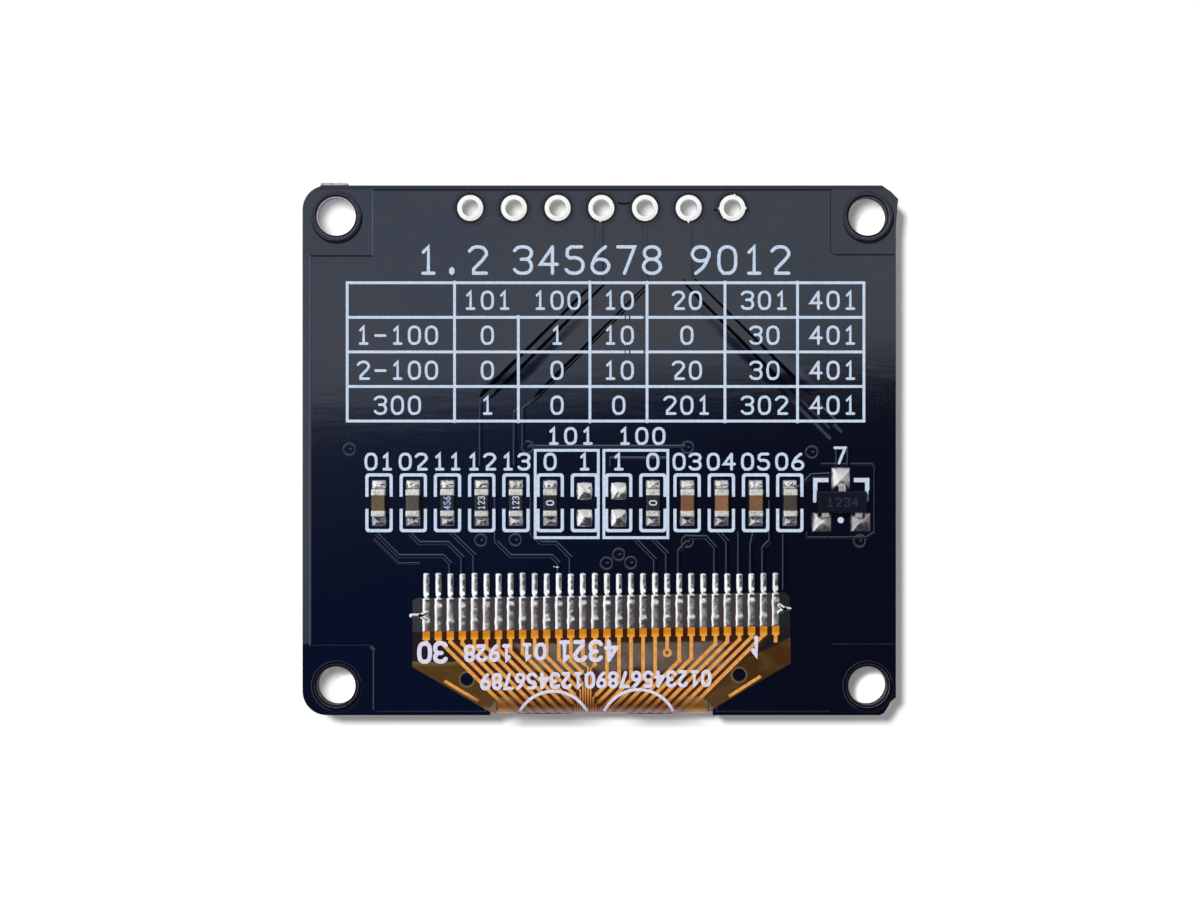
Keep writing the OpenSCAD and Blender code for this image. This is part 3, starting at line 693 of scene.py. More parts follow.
reliefSettings = {
    # width, slope width and height of each kind of ridge
    "ridges": {"track": (0.11, 0.085, 0.014), "edge": (0.05, 0.05, 0.012), "bright": (0.02, 0.10, 0.012),
               "ring": (0.02, 0.07, 0.012), "outline": (0.02, 0.05, 0.012)},
    # path, width and slope width of the broad slanting tracks; x, lower end and width of their stems
    "slant": [
        ([(0.02, 9.85), (0.02, 9.70), (-6.75, 2.93)], 0.36, 0.15),
        ([(2.78, 9.7), (2.78, 9.52), (-4.45, 2.29)], 0.08, 0.12),
        ([(5.25, 9.95), (5.25, 9.85), (13.6, 1.5)], 0.48, 0.14),
    ],
    "stemTop": 13.2,
    "stems": [(0.02, 9.8, 0.34), (2.78, 9.6, 0.12), (5.25, 9.9, 0.46)],
    # painted shade strokes beside the slanting tracks: three stations and the widths there; x, lower end
    # and width of the upright ones
    "shadeStrokes": [
        ([(-0.55, 9.52), (-4.63, 5.44), (-6.94, 3.13)], [0.11, 0.22, 0.34]),
        ([(0.30, 9.68), (-3.52, 5.86), (-6.12, 3.26)], [0.15, 0.24, 0.30]),
        ([(2.66, 9.52), (-0.45, 6.41), (-3.75, 3.11)], [0.09, 0.20, 0.22]),
        ([(5.6, 9.94), (9.19, 6.35), (11.5, 4.04)], [0.10, 0.18, 0.30]),
        ([(4.95, 9.67), (7.24, 7.38), (10.45, 4.17)], [0.09, 0.18, 0.27]),
    ],
    "stemShadeStrokes": [(-0.26, 9.9, 0.014), (0.24, 9.8, 0.026), (2.53, 9.9, 0.016), (2.77, 9.8, 0.026),
                    (5.38, 9.9, 0.028)],
    "boxShadeStroke": ([(13.45, 15.1), (13.45, 11.55), (13.7, 11.36)], [0.034, 0.034, 0.034]),
    "bright": [
        [(10.5, 3.6), (13.45, 0.65)], [(11.6, 3.55), (14.1, 1.05)], [(-4.1, 0.24), (5.0, 0.24)],
        [(0.67, -0.95), (0.67, -0.44), (4.0, -0.44)],
        [(-13.3, -11.40), (-13.08, -11.62), (-13.08, -15.1)],
    ],
    "edge": [
        [(12.1, -4.72), (12.1, -5.07), (13.3, -5.07)],
        [(13.35, -5.07), (15.1, -5.07), (15.5, -5.07), (16.02, -4.75), (16.02, -1.0), (15.85, -0.8),
         (12.9, -0.8)],
        [(-13.12, -5.14), (-11.66, -6.58), (-10.41, -6.58)],
    ],
    "track": [
        [(-6.6, 3.05), (-6.88, 2.77), (-6.88, -0.9)],
        [(-4.6, 2.5), (-4.90, 2.2), (-4.90, -0.9)],
        [(-4.2, 2.6), (-4.40, 2.4), (-4.40, 0.4)],
        [(-12.95, -4.85), (-11.65, -6.15), (-9.08, -6.15), (-8.65, -6.58), (-8.65, -7.3)],
        [(-11.0, -4.85), (-10.46, -5.39), (-8.79, -5.39), (-7.95, -6.23), (-7.95, -7.3)],
        [(-8.75, -4.65), (-7.25, -6.1), (-7.25, -7.3)],
        [(-6.0, -2.5), (-6.0, -5.3), (-5.15, -6.15), (-2.76, -6.15), (-2.35, -6.56), (-2.35, -7.3)],
        [(-3.93, -2.5), (-3.93, -4.85), (-3.39, -5.39), (-2.5, -5.39), (-1.65, -6.24), (-1.65, -7.3)],
        [(2.1, -5.2), (3.25, -6.35), (3.25, -7.3)],
        [(3.1, -5.15), (3.95, -6.0), (3.95, -7.3)],
        [(5.15, -5.3), (4.65, -5.85), (4.65, -7.3)],
        [(5.2, -5.05), (6.2, -5.05), (6.75, -5.65), (6.75, -7.3)],
        [(6.9, -4.7), (7.45, -5.3), (7.45, -7.3)],
        [(8.15, -4.7), (8.15, -7.3)],
        [(9.0, -4.8), (8.85, -5.5), (8.85, -7.3)],
        [(9.95, -2.9), (9.95, -5.25), (9.55, -5.65), (9.55, -7.3)],
        [(10.75, -4.85), (10.75, -8.1)],
        [(11.6, -2.2), (12.35, -1.45), (13.4, -1.4)],
        [(13.85, 0.2), (13.85, -0.9)],
        [(14.5, 0.2), (14.5, -0.9)],
    ],
    "outline": [
        [(17.15, 11.37), (13.7, 11.37)],
        [(13.5, 15.13), (-13.15, 15.13), (-13.15, 11.3), (-16.8, 11.3), (-16.8, -11.36), (-13.3, -11.36)],
        [(-13.0, -15.2), (-6.6, -15.2), (-6.6, -14.25), (6.85, -14.25), (6.85, -15.2), (13.4, -15.2)],
        [(13.55, -11.29), (17.15, -11.29)],
    ],
    "vias": [(-14.51, 0.05), (-6.87, -5.24), (-4.86, -5.22), (0.44, -6.58), (1.15, -6.07),
             (1.85, -6.55), (5.15, -5.3), (5.15, 0.16), (12.38, -0.11), (15.16, -5.28), (-4.15, 0.17)],
    "viaRadius": 0.34,
    "dimple": (0.11, 0.07, 0.012),
}


def makeRelief():
    # Tracks and pour edges as low ridges, vias as rings with a dimple: depth * (1 - r^2).
    look = reliefSettings
    ridges = {kind: ridgeProfile(*sizes) for kind, sizes in look["ridges"].items()}
    trackHeight = look["ridges"]["track"][2]
    parts = [carryProfile(path, ridgeProfile(width, slope, trackHeight))
             for path, width, slope in look["slant"]]
    for kind in ("track", "edge", "bright"):
        parts += [carryProfile(path, ridges[kind]) for path in look[kind]]
    radius = look["viaRadius"]
    radiusX, radiusY, depth = look["dimple"]
    for x, y in look["vias"]:
        parts.append(carryProfile(ringOutline(x, y, radius, radius), ridges["ring"], closed=True))
        parts.append(dome(ringOutline(x + 0.06, y + 0.02, radiusX, radiusY, 10),
                          lambda r, px, py: depth * (1 - r * r), rings=2))
    outline = [carryProfile([(x, look["stemTop"]), (x, low)], ridgeProfile(width, 0.04, 0.010))
               for x, low, width in look["stems"]]
    outline += [carryProfile(path, ridges["outline"]) for path in look["outline"]]
    addPiece("pourOutline", outline, maskOverPour, "solder_mask")
    return addPiece("maskRelief", parts, maskOverCopper, "solder_mask")


def makeTrackShade():
    # Painted shade: dark strokes along the sides of the long slanting tracks, widening towards their
    # lower ends.
    look = reliefSettings
    unit = np.array([(0.5, -0.004), (0.36, 0.016), (-0.36, 0.016), (-0.5, -0.004)])
    upright = [([(x, look["stemTop"]), (x, 11.5), (x, low)], [width] * 3)
               for x, low, width in look["stemShadeStrokes"]]
    parts = []
    for path, widths in look["shadeStrokes"] + upright + [look["boxShadeStroke"]]:
        stations = np.linspace(0, 2, 21)
        path = np.array(path)
        way = np.stack([np.interp(stations, [0, 1, 2], path[:, k]) for k in (0, 1)], axis=1)
        across = np.interp(stations, [0, 1, 2], widths)
        across = across * (1 + 0.14 * softNoise(stations * 5, 0 * stations, len(parts), 1.6))
        across[[0, -1]] *= 0.4
        parts.append(carryProfile(way, unit, widths=across))
    return addPiece("trackSides", parts, paintedTrackShade, "solder_mask")


holeSettings = {
    "centres": [(-15.29, -13.69), (-15.29, 13.61), (15.61, -13.69), (15.61, 13.61)],
    # path radius, then the radii and heights of the corners of each band's cross-section
    "ring": (1.35, (1.47, 1.42, 1.28, 1.26), (-0.004, 0.035, 0.035, -0.004)),
    "lip": (1.19, (1.22, 1.14, 1.13, 1.22), (0.031, -0.004, -0.03, -0.03)),
    "wall": (1.145, (1.11, 1.11, 1.18, 1.18), (1.67 - boardTop, -0.012, -0.012, 1.67 - boardTop)),
    # painted shadow: a dark band shifted to the lower right, seen as a crescent outside the ring
    "paintedShadowBand": (1.35, (1.50, 1.50, 1.30, 1.30), (-0.004, 0.004, 0.004, -0.004)),
    "paintedShadowShift": (0.04, -0.11),
    "brownTones": (tone(52, 46, 46), tone(112, 100, 98)),
    # painted light on the wall of the upper left hole
    "paintedLitTones": (tone(196, 186, 214), tone(240, 232, 252)),
}


def wallFinish():
    # Painted light: pale laminate in the hole at the upper left, as if lit, and a dull brown
    # in the other three.
    look = holeSettings
    finish, shader, place = newFinish("holeLaminate")
    x, y = apart(place)[:2]
    grain = noise(place, 5, 4, 0.6, stretch=(1, 1, 4))
    # painted light: the wall of the upper left hole is pale, as if lit
    paintedLitWall = fade(x, -1, 1, 1, 0) * fade(y, -1, 1)
    dull = blendColour(fade(grain, 0.3, 0.7), *look["brownTones"])
    pale = blendColour(fade(grain, 0.3, 0.7), *look["paintedLitTones"])
    plug(shader, "Base Color", blendColour(paintedLitWall, dull, pale))
    plug(shader, "Roughness", fade(grain, 0.2, 0.8, 0.75, 0.9))
    plug(shader, "Normal", bump(grain, 0.5, 0.01))
    return finish


def makeHoles():
    # Round each screw hole: a raised flat ring, a dark lacquer lip that slopes inwards, the cut
    # laminate a little proud of the bore, and a painted shadow: a dark crescent outside the ring on
    # its lower right.
    look = holeSettings
    shiftX, shiftY = look["paintedShadowShift"]
    rings = [ringBand(x, y, *look["ring"]) for x, y in look["centres"]]
    lipsAndShadow = []
    for x, y in look["centres"]:
        lipsAndShadow.append(ringBand(x, y, *look["lip"]))
        # painted shadow: the dark crescent on the lower right
        lipsAndShadow.append(ringBand(x + shiftX, y + shiftY, *look["paintedShadowBand"]))
    walls = [ringBand(x, y, *look["wall"]) for x, y in look["centres"]]
    addPiece("holeRings", rings, ringMask, "solder_mask")
    addPiece("holeLipsAndShadow", lipsAndShadow, blackAndPaintedShade, "solder_mask")
    addPiece("holeWalls", walls, wallFinish(), "solder_mask")


headerSettings = {
    "rim": (0.8425, (0.755, 0.755, 0.93, 0.93), (-0.004, 0.004, 0.004, -0.004)),
    "outlineRadius": 1.03,
    "outlineRidge": (0.012, 0.016, 0.006),
    "dashes": [[(1.10, 14.41), (1.22, 14.34), (1.64, 14.34), (1.76, 14.41)],
               [(6.64, 13.97), (6.84, 13.97)], [(8.46, 13.97), (8.72, 13.97)]],
    "dashRidge": (0.1, 0.02, 0.006),
    # eyelet, place beside its middle and radius of each drop
    "drops": [(4, -0.05, -0.75, 0.07), (6, 0.0, -0.78, 0.08), (7, -0.76, -0.03, 0.07),
              (7, 0.77, -0.02, 0.07), (7, 0.12, 0.72, 0.08), (5, 0.66, -0.3, 0.07),
              (7, -0.5, -0.55, 0.06), (4, 0.62, 0.3, 0.06)],
    "dropHeight": 0.08,
}


def eyeletMiddle(place):
    # Middle of an eyelet in plan: half the sum of the corners of its box.
    low, high = nodeBox(f"header_eyelet_{place}")
    return 0.5 * (low + high)[:2]


def makeHeaderRims():
    # Bare, dark laminate between each header ring and the lacquer, a thin flat band, and the
    # lacquer's own thin edge round it.
    look = headerSettings
    radius = look["outlineRadius"]
    edge = ridgeProfile(*look["outlineRidge"])
    parts = []
    for place in range(1, 8):
        x, y = eyeletMiddle(place)
        parts.append(ringBand(x, y, *look["rim"], count=48))
        parts.append(carryProfile(ringOutline(x, y, radius, radius, 48), edge, closed=True))
    return addPiece("headerRims", parts, bareRim, "solder_mask")


def makeDashes():
    # Short dark gaps in the lacquer beside the header rings.
    ridge = ridgeProfile(*headerSettings["dashRidge"])
    parts = [carryProfile(path, ridge) for path in headerSettings["dashes"]]
    return addPiece("lacquerGaps", parts, blackAndPaintedShade, "solder_mask")


def makeHeaderDrops():
    # Drops of solder left on some of the header rings: height * sqrt(1 - r^2).
    look = headerSettings
    parts = []
    for place, alongX, alongY, radius in look["drops"]:
        x, y = eyeletMiddle(place)
        rim = ringOutline(x + alongX, y + alongY, radius, radius * 1.3, 14)
        parts.append(dome(rim, lambda r, px, py: look["dropHeight"] * np.sqrt(np.maximum(1 - r * r, 0)),
                          rings=4))
    return addPiece("headerDrops", parts, padTin, "solder")


# painted shade: near-black strokes on the sides of the long slanting tracks
paintedTrackShade = plainFinish("paintedTrackShade", tone(6, 7, 14), tone(2, 2, 6), 0.6, 6, 0.002, 0.0)
# near black for the hole lips, the lacquer gaps and the slivers under the fold, and painted shadow for the
# crescents beside the holes
blackAndPaintedShade = plainFinish("blackAndPaintedShade", tone(14, 14, 24), tone(6, 7, 16), 0.5, 6, 0.004, 0.15)
bareRim = plainFinish("bareRim", tone(38, 41, 48), tone(28, 30, 36), 0.5, 6, 0.004, 0.25)
makeRelief()
makeTrackShade()
makeHoles()
makeHeaderRims()
makeDashes()
makeHeaderDrops()
print("relief ready")


# Solder of the chips.

chipSolder = {
    "firstX": -12.8,
    "pitch": 1.99,
    "places": [0, 1, 2, 3, 4, 5, 8, 9, 10, 11, 12],
    "halfWidth": 0.44,
    "topY": (-2.29, -1.70),
    "lowY": (-4.42, -3.81),
    "flecks": [(-2.42, -6.80, 0.10, 0.06), (-2.6, -6.77, 0.06, 0.05)],
    "jumperPlaces": (6, 7),
    "jumperY": (-2.37, -3.93),
    "jumperHalf": (0.475, 0.53),
    # x and y span and seed of the single lead's drop, the lower left one and the right one
    "regulator": [(13.47, 14.60, -2.38, -0.97, 5), (12.34, 13.52, -4.76, -3.6, 8),
                  (14.58, 15.80, -4.76, -3.6, 12)],
    # height, squareness, flatness of the top, depth and size of the lumps
    "topDrop": (0.36, 0.8, 3.2, 0.1, 0.22),
    "lowDrop": (0.40, 0.85, 1.5, 0.1, 0.3),
    "fleckDrop": (0.05, 0, 2, 0.3, 0.28),
    "jumperDrop": (0.26, 0.7, 1.5, 0.16, 0.55),
    "regulatorDrop": (0.4, 0.85, 1.9, 0.05, 0.7),
}


def mound(x0, x1, y0, y1, seed, height, square, flat, lumps, size):
    # A closed pillow of solder: height times (1 - r^flat)^0.6, with soft lumps.
    rim = ringOutline(0.5 * (x0 + x1), 0.5 * (y0 + y1), 0.5 * (x1 - x0), 0.5 * (y1 - y0), 40, square)

    def heights(r, px, py):
        body = np.maximum(1 - np.asarray(r, float) ** flat, 0) ** 0.6
        return height * body * (1 + lumps * softNoise(px, py, seed, size))

    return dome(rim, heights, rings=10)


def chipX(place):
    # Middle of a chip place: the first one plus whole pitches.
    return chipSolder["firstX"] + place * chipSolder["pitch"]


def makeChipSolder():
    # A bright plump drop above each chip and a duller, flatter one below it, whose darker copy of
    # the solder is painted shade.
    look = chipSolder
    half = look["halfWidth"]
    upper = []
    lower = []
    for place in look["places"]:
        left, right = chipX(place) - half, chipX(place) + half
        upper.append(mound(left, right, *look["topY"], 40 + place, *look["topDrop"]))
        lower.append(mound(left, right, *look["lowY"], 70 + place, *look["lowDrop"]))
    for x, y, wide, tall in look["flecks"]:
        upper.append(mound(x - wide, x + wide, y - tall, y + tall, 9, *look["fleckDrop"]))
    addPiece("lowerSolder", lower, paintedShadeSolder, "solder")
    return addPiece("chipSolder", upper, solder, "solder", replaces=("chip_solder_fillets",))


def makeJumperPads():
    # Uneven solder on the two open pairs of pads.
    look = chipSolder
    halfX, halfY = look["jumperHalf"]
    parts = []
    for x in map(chipX, look["jumperPlaces"]):
        for y in look["jumperY"]:
            seed = 11 + len(parts)
            parts.append(mound(x - halfX, x + halfX, y - halfY, y + halfY, seed, *look["jumperDrop"]))
    return addPiece("jumperSolder", parts, solder, "solder", replaces=("jumper_pad_solder",))


def makeRegulatorSolder():
    # Smooth bright drops on the single lead and the lower left one, a duller one on the right.
    look = chipSolder
    parts = [mound(*box, *look["regulatorDrop"]) for box in look["regulator"]]
    addPiece("regulatorRightDrop", parts[2:], darkSolder, "solder")
    return addPiece("regulatorBlobs", parts[:2], satinSolder, "solder", replaces=("regulator_solder",))


makeChipSolder()
makeJumperPads()
makeRegulatorSolder()
print("chip solder ready")


# Printed figures.

glyphs = {
    "0": [[(0.28, 0), (0.72, 0), (1, 0.2), (1, 0.8), (0.72, 1), (0.28, 1), (0, 0.8), (0, 0.2), (0.28, 0)]],
    "1": [[(0.22, 0.8), (0.52, 1), (0.52, 0)], [(0.2, 0), (0.85, 0)]],
    "2": [[(0, 0.84), (0.25, 1), (0.75, 1), (1, 0.84), (1, 0.64), (0, 0), (1, 0)]],
    "3": [[(0, 0.86), (0.22, 1), (0.75, 1), (1, 0.86), (1, 0.68), (0.78, 0.53), (0.4, 0.53)],
          [(0.78, 0.53), (1, 0.38), (1, 0.15), (0.75, 0), (0.22, 0), (0, 0.14)]],
    "4": [[(0.72, 0), (0.72, 1)], [(0.72, 1), (0, 0.34), (1, 0.34)]],
    "5": [[(0.92, 1), (0.08, 1), (0.05, 0.57), (0.7, 0.6), (1, 0.42), (1, 0.18), (0.75, 0), (0.22, 0),
           (0, 0.14)]],
    "6": [[(0.02, 0.36), (0, 0.18), (0.25, 0), (0.75, 0), (1, 0.18), (1, 0.36), (0.75, 0.53),
           (0.25, 0.53), (0.02, 0.36)], [(0.8, 1), (0.5, 0.86), (0.22, 0.66), (0.03, 0.34)]],
    "7": [[(0, 1), (1, 1), (0.4, 0)]],
    "8": [[(0.28, 0.53), (0.05, 0.68), (0.05, 0.86), (0.28, 1), (0.72, 1), (0.95, 0.86), (0.95, 0.68),
           (0.72, 0.53), (0.28, 0.53)],
          [(0.28, 0.53), (0.72, 0.53), (1, 0.36), (1, 0.16), (0.74, 0), (0.26, 0), (0, 0.16), (0, 0.36),
           (0.28, 0.53)]],
    "9": [[(0.98, 0.64), (1, 0.82), (0.75, 1), (0.25, 1), (0, 0.82), (0, 0.64), (0.25, 0.47),
           (0.75, 0.47), (0.98, 0.64)], [(0.2, 0), (0.5, 0.14), (0.78, 0.34), (0.97, 0.66)]],
    "l": [[(0.85, 0.72), (0.5, 1), (0.5, 0)]],
    "-": [[(0.05, 0.48), (0.95, 0.48)]],
    ".": [[(0.36, 0.04), (0.50, 0.04)], [(0.36, 0.13), (0.50, 0.13)], [(0.43, 0.0), (0.43, 0.17)]],
}


def rounded(points):
    # Corner cutting: each inner corner is replaced by two points a quarter along its sides.
    points = np.asarray(points, float)
    first = 0.75 * points[:-1] + 0.25 * points[1:]
    second = 0.25 * points[:-1] + 0.75 * points[1:]
    inner = np.stack([first, second], axis=1).reshape(-1, 2)[1:-1]
    return np.concatenate([points[:1], inner, points[-1:]])


def figures(text, x, y, size, pitch, line, ground=flatBoard, height=0.02, turn=0.0, slant=0.0):
    # Strokes of a row of figures centred on x, y; size is (width, height) of one figure.
    turned = np.array([[math.cos(turn), math.sin(turn)], [-math.sin(turn), math.cos(turn)]])
    parts = []
    for place, char in enumerate(text):
        across = (place - (len(text) - 1) / 2) * pitch
        for layer, stroke in enumerate(glyphs[char]):
            points = rounded(stroke) if len(stroke) > 3 and char not in "14" else np.array(stroke, float)
            points = (points - 0.5) * np.array(size)
            points[:, 0] += across
            points = points @ turned + (x, y)
            points[:, 1] += slant * (points[:, 0] - x)
            # crossing strokes lie a little apart in height
            profile = strokeProfile(line, height - 0.003 * layer)
            if stroke[0] == stroke[-1]:
                parts.append(carryProfile(points[:-1], profile, ground, closed=True))
            else:
                parts.append(carryRounded(points, line, profile, ground))
    return parts


legendSettings = {
    "title": [("1.2", -8.5, 1.45), ("345678", -0.68, 1.5), ("9012", 8.22, 1.54)],
    "titleY": 11.06,
    "titleSize": (0.98, 1.53),
    "titleLine": 0.195,
    "rowY": [8.72, 6.69, 4.65, 2.62],
    "columnX": [-11.73, -6.5, -2.45, 1.14, 5.1, 9.61, 13.6],
    "rows": [
        ["", "101", "100", "10", "20", "301", "401"],
        ["1-100", "0", "1", "10", "0", "30", "401"],
        ["2-100", "0", "0", "10", "20", "30", "401"],
        ["300", "1", "0", "0", "201", "302", "401"],
    ],
    "labels": ["01", "02", "11", "12", "13", "0", "1", "1", "0", "03", "04", "05", "06"],
    "labelY": -0.66,
    "boxLabels": [("7", 14.0, -0.3), ("101", -1.66, 0.83), ("100", 2.48, 0.83)],
    # size of a figure, pitch and line width
    "cellStyle": ((0.62, 0.97), 0.99, 0.155),
    "labelStyle": ((0.60, 0.88), 0.93, 0.165),
    "boxStyle": ((0.60, 0.88), 0.99, 0.165),
    # where the table's lines cross
    "knots": ([-8.41, -4.7, -0.54, 2.78, 7.31, 11.53], [9.74, 7.73, 5.72, 3.71, 1.70]),
    "missingKnot": (-4.7, 9.74),
    "knotRadius": 0.14,
    "strokes": [[(12.55, -2.3), (12.53, -2.95)], [(15.55, -2.3), (15.58, -2.9)]],
    "strokeSize": (0.2, 0.018),
}


def makeLegend():
    # Title, table cells and chip labels in plain figures, and the table's knots and short strokes.
    look = legendSettings
    parts = []
    for text, x, pitch in look["title"]:
        parts += figures(text, x, look["titleY"], look["titleSize"], pitch, look["titleLine"])
    for y, row in zip(look["rowY"], look["rows"]):
        for x, text in zip(look["columnX"], row):
            parts += figures(text, x, y, *look["cellStyle"])
    for place, text in enumerate(look["labels"]):
        parts += figures(text, chipX(place), look["labelY"], *look["labelStyle"])
    for text, x, y in look["boxLabels"]:
        parts += figures(text, x, y, *look["boxStyle"])
    columns, rows = look["knots"]
    radius = look["knotRadius"]
    for x in columns:
        for y in rows:
            if (x, y) != look["missingKnot"]:
                rim = ringOutline(x, y, radius, radius, 12)
                parts.append(dome(rim, lambda r, px, py: 0.023 - 0.004 * r * r, rings=2))
    width, height = look["strokeSize"]
    parts += [carryRounded(path, width, strokeProfile(width, height)) for path in look["strokes"]]
    return addPiece("printedFigures", parts, ink, "legend_ink")


def onTop(name):
    # Ground function of a node's flat top.
    level = nodeBox(name)[1][2]
    return lambda x, y: level + 0 * x


chipMarkSettings = {
    "y": -3.05,
    "inkHeight": 0.008,
    # figures, chip place, size, pitch and line width for each resistor in turn
    "resistors": [("456", 2, (0.17, 0.36), 0.27, 0.07), ("123", 3, (0.17, 0.36), 0.27, 0.06),
                  ("123", 4, (0.17, 0.36), 0.27, 0.06), ("0", 5, (0.24, 0.40), 1, 0.075),
                  ("0", 8, (0.24, 0.40), 1, 0.075)],
    "regulator": ("1234", 14.07, -3.0, (0.3, 0.44), 0.48, 0.08),
    "faintHeight": 0.006,
}


def makeChipMarks():
    # Small figures on the resistors, turned a quarter, and faint ones on the regulator.
    look = chipMarkSettings
    marks = []
    for place, (text, chip, size, pitch, line) in enumerate(look["resistors"]):
        coat = onTop(f"resistor_coat_{place + 1}")
        marks.append(figures(text, chipX(chip), look["y"], size, pitch, line, coat, look["inkHeight"],
                             math.pi / 2))
    faint = figures(*look["regulator"], onTop("regulator_body"), look["faintHeight"])
    addPiece("blueMarks", marks[0], blueInk, "legend_ink")
    addPiece("faintMarks", faint, faintInk, "legend_ink")
    return addPiece("chipMarks", sum(marks[1:], []), ink, "legend_ink")


makeLegend()
makeChipMarks()
print("printed figures ready")


# Soldered fingers of the cable.

fingerSettings = {
    "count": 30,
    "seed": 7,
    "pitch": 0.7,
    "middle": 0.1,
    "padTop": -7.11,
    "lean": 0.38,
    "filmEdge": -8.43,
    "tinLength": 1.94,
    "padWidth": 0.38,
    "fingerWidth": 0.43,
    "holeBehind": (1.45, 0.55),
}


def swell(y, middle, reach):
    # Bell curve of y, 1 at the middle.
    return np.exp(-((y - middle) / reach) ** 2)


def oneFinger(place, rng):
    # Solder over a board pad and the tinned finger behind it. Across it the height is an arc,
    # (1 - a^2.1)^0.62, whose crown leans to the right. Along it width and height follow the pad,
    # the climb over the film edge, the finger and the mound over its solder hole.
    look = fingerSettings
    x = look["middle"] + (place - (look["count"] - 1) / 2) * look["pitch"]
    edge = look["filmEdge"] + cableSlant * x
    padTop = look["padTop"] + rng.uniform(-0.03, 0.03)
    holeAt = edge - look["holeBehind"][place % 2]
    end = edge - look["tinLength"]
    # stations, closest at both ends and on the film edge
    stretches = [(padTop, padTop - 0.12, 6), (padTop - 0.2, edge + 0.12, 12),
                 (edge + 0.08, edge - 0.12, 8), (edge - 0.16, end + 0.08, 30), (end + 0.05, end, 4)]
    y = np.concatenate([np.linspace(*stretch) for stretch in stretches])
    onFilm = np.clip((edge + 0.04 - y) / 0.06, 0, 1)
    base = boardTop + (filmTopFlat - boardTop) * onFilm[:, None]
    width = look["padWidth"] + (look["fingerWidth"] - look["padWidth"]) * onFilm
    width = width - 0.10 * swell(y, edge + 0.03, 0.05) + 0.06 * swell(y, edge - 0.07, 0.05)
    width = width * np.sqrt(np.clip(1 - (1 - np.clip((padTop - y) / 0.13, 0, 1)) ** 2.5, 0.05, 1))
    width = width + 0.06 * swell(y, holeAt, 0.17)
    width = width * (1 + 0.03 * softNoise(y, 0 * y, int(rng.integers(1e6)), 0.5))
    height = 0.105 - 0.05 * onFilm + 0.05 * swell(y, edge + 0.12, 0.09)
    height = height + 0.05 * swell(y, edge - 0.08, 0.06) + 0.012 * swell(y, holeAt, 0.2)
    height = height * np.clip((padTop - y + 0.02) / 0.1, 0.1, 1)
    height = height * np.clip((y - end + 0.02) / 0.06, 0.3, 1)
    u = np.linspace(-1, 1, 15)
    lean = look["lean"]
    aside = np.where(u < lean, (lean - u) / (1 + lean), (u - lean) / (1 - lean))
    arc = np.maximum(1 - aside ** 2.1, 0) ** 0.62
    px = x + 0.5 * width[:, None] * u[None]
    py = y[:, None] + 0 * px
    lump = 1 + 0.04 * softNoise(px, py, int(rng.integers(1e6)), 0.4)
    topSkin = np.stack([px, py, base + height[:, None] * arc[None] * lump], axis=2)
    foot = np.stack([px[:, [-1, 0]], py[:, [-1, 0]], base - 0.004 + 0 * px[:, :2]], axis=2)
    verts = np.concatenate([topSkin, foot], axis=1)
    rows, columns = verts.shape[:2]
    faces = [face[::-1] for face in gridFaces(rows, columns, wrapColumns=True)]
    faces.append(list(range(columns)))
    faces.append(list(range((rows - 1) * columns, rows * columns))[::-1])
    return verts.reshape(-1, 3), faces


def makeFingers():
    # The row of fingers, drawn one after another from the same random numbers.
    rng = np.random.default_rng(fingerSettings["seed"])
    parts = [oneFinger(place, rng) for place in range(fingerSettings["count"])]
    return addPiece("solderedFingers", parts, fingerTin, "solder",
                    replaces=("board_finger_pads", "flex_finger_solder"))


def onFilmTop(x, y):
    # Height of the film's upper skin: flat on the board, then a quarter circle down over the edge.
    bendY, bendRadius = -14.43, 0.9
    over = np.clip(bendY - y, 0, bendRadius * 0.995)
    return filmTopFlat - bendRadius + np.sqrt(bendRadius ** 2 - over ** 2) + 0 * x


strapSettings = {
    "width": 0.27,
    "height": 0.06,
    "edge": 0.3,
    "paths": [[(-10.9, -9.6), (-10.35, -9.6), (-10.05, -9.42)], [(-10.38, -9.6), (-10.05, -9.82)],
              [(11.04, -9.22), (10.75, -9.2), (10.45, -8.98)], [(10.78, -9.22), (10.45, -9.4)]],
}


def makeStraps():
    # Thin tinned straps that run from the outer fingers to the film's side edges.
    look = strapSettings
    profile = strokeProfile(look["width"], look["height"], look["edge"])
    parts = [carryRounded(path, look["width"], profile, onFilmTop) for path in look["paths"]]
    return addPiece("sideStraps", parts, fingerTin, "solder")


makeFingers()
makeStraps()
print("fingers ready")


# Printed marks of the cable.

cablePrint = {
    # figures, middle, size of a figure, pitch and line width
    "rows": [
        ("30", -9.68, -11.75, (0.62, 1.06), 0.92, 0.25),
        ("1928", -6.45, -11.78, (0.46, 0.82), 0.72, 0.215),
        ("01", -3.8, -11.7, (0.5, 0.82), 0.78, 0.215),
        ("4321", -0.65, -11.66, (0.60, 1.06), 0.90, 0.24),
        ("l", 9.12, -11.4, (0.5, 1.03), 0.8, 0.25),
        ("01234567890123456789", -0.2, -13.35, (0.42, 0.80), 0.675, 0.2),
    ],
    "arcs": [((-2.66, -16.2), 2.2), ((2.3, -16.1), 2.2)],
    "arcSpan": (156, 24),
    "arcLine": 0.18,
    "foldLimit": -15.3,
    "inkHeight": 0.014,
    "traceHeight": 0.021,
}


def onTraces(x, y):
    # Height of the ground for ink on the cable: the film plus the copper on it.
    return onFilmTop(x, y) + cablePrint["traceHeight"]


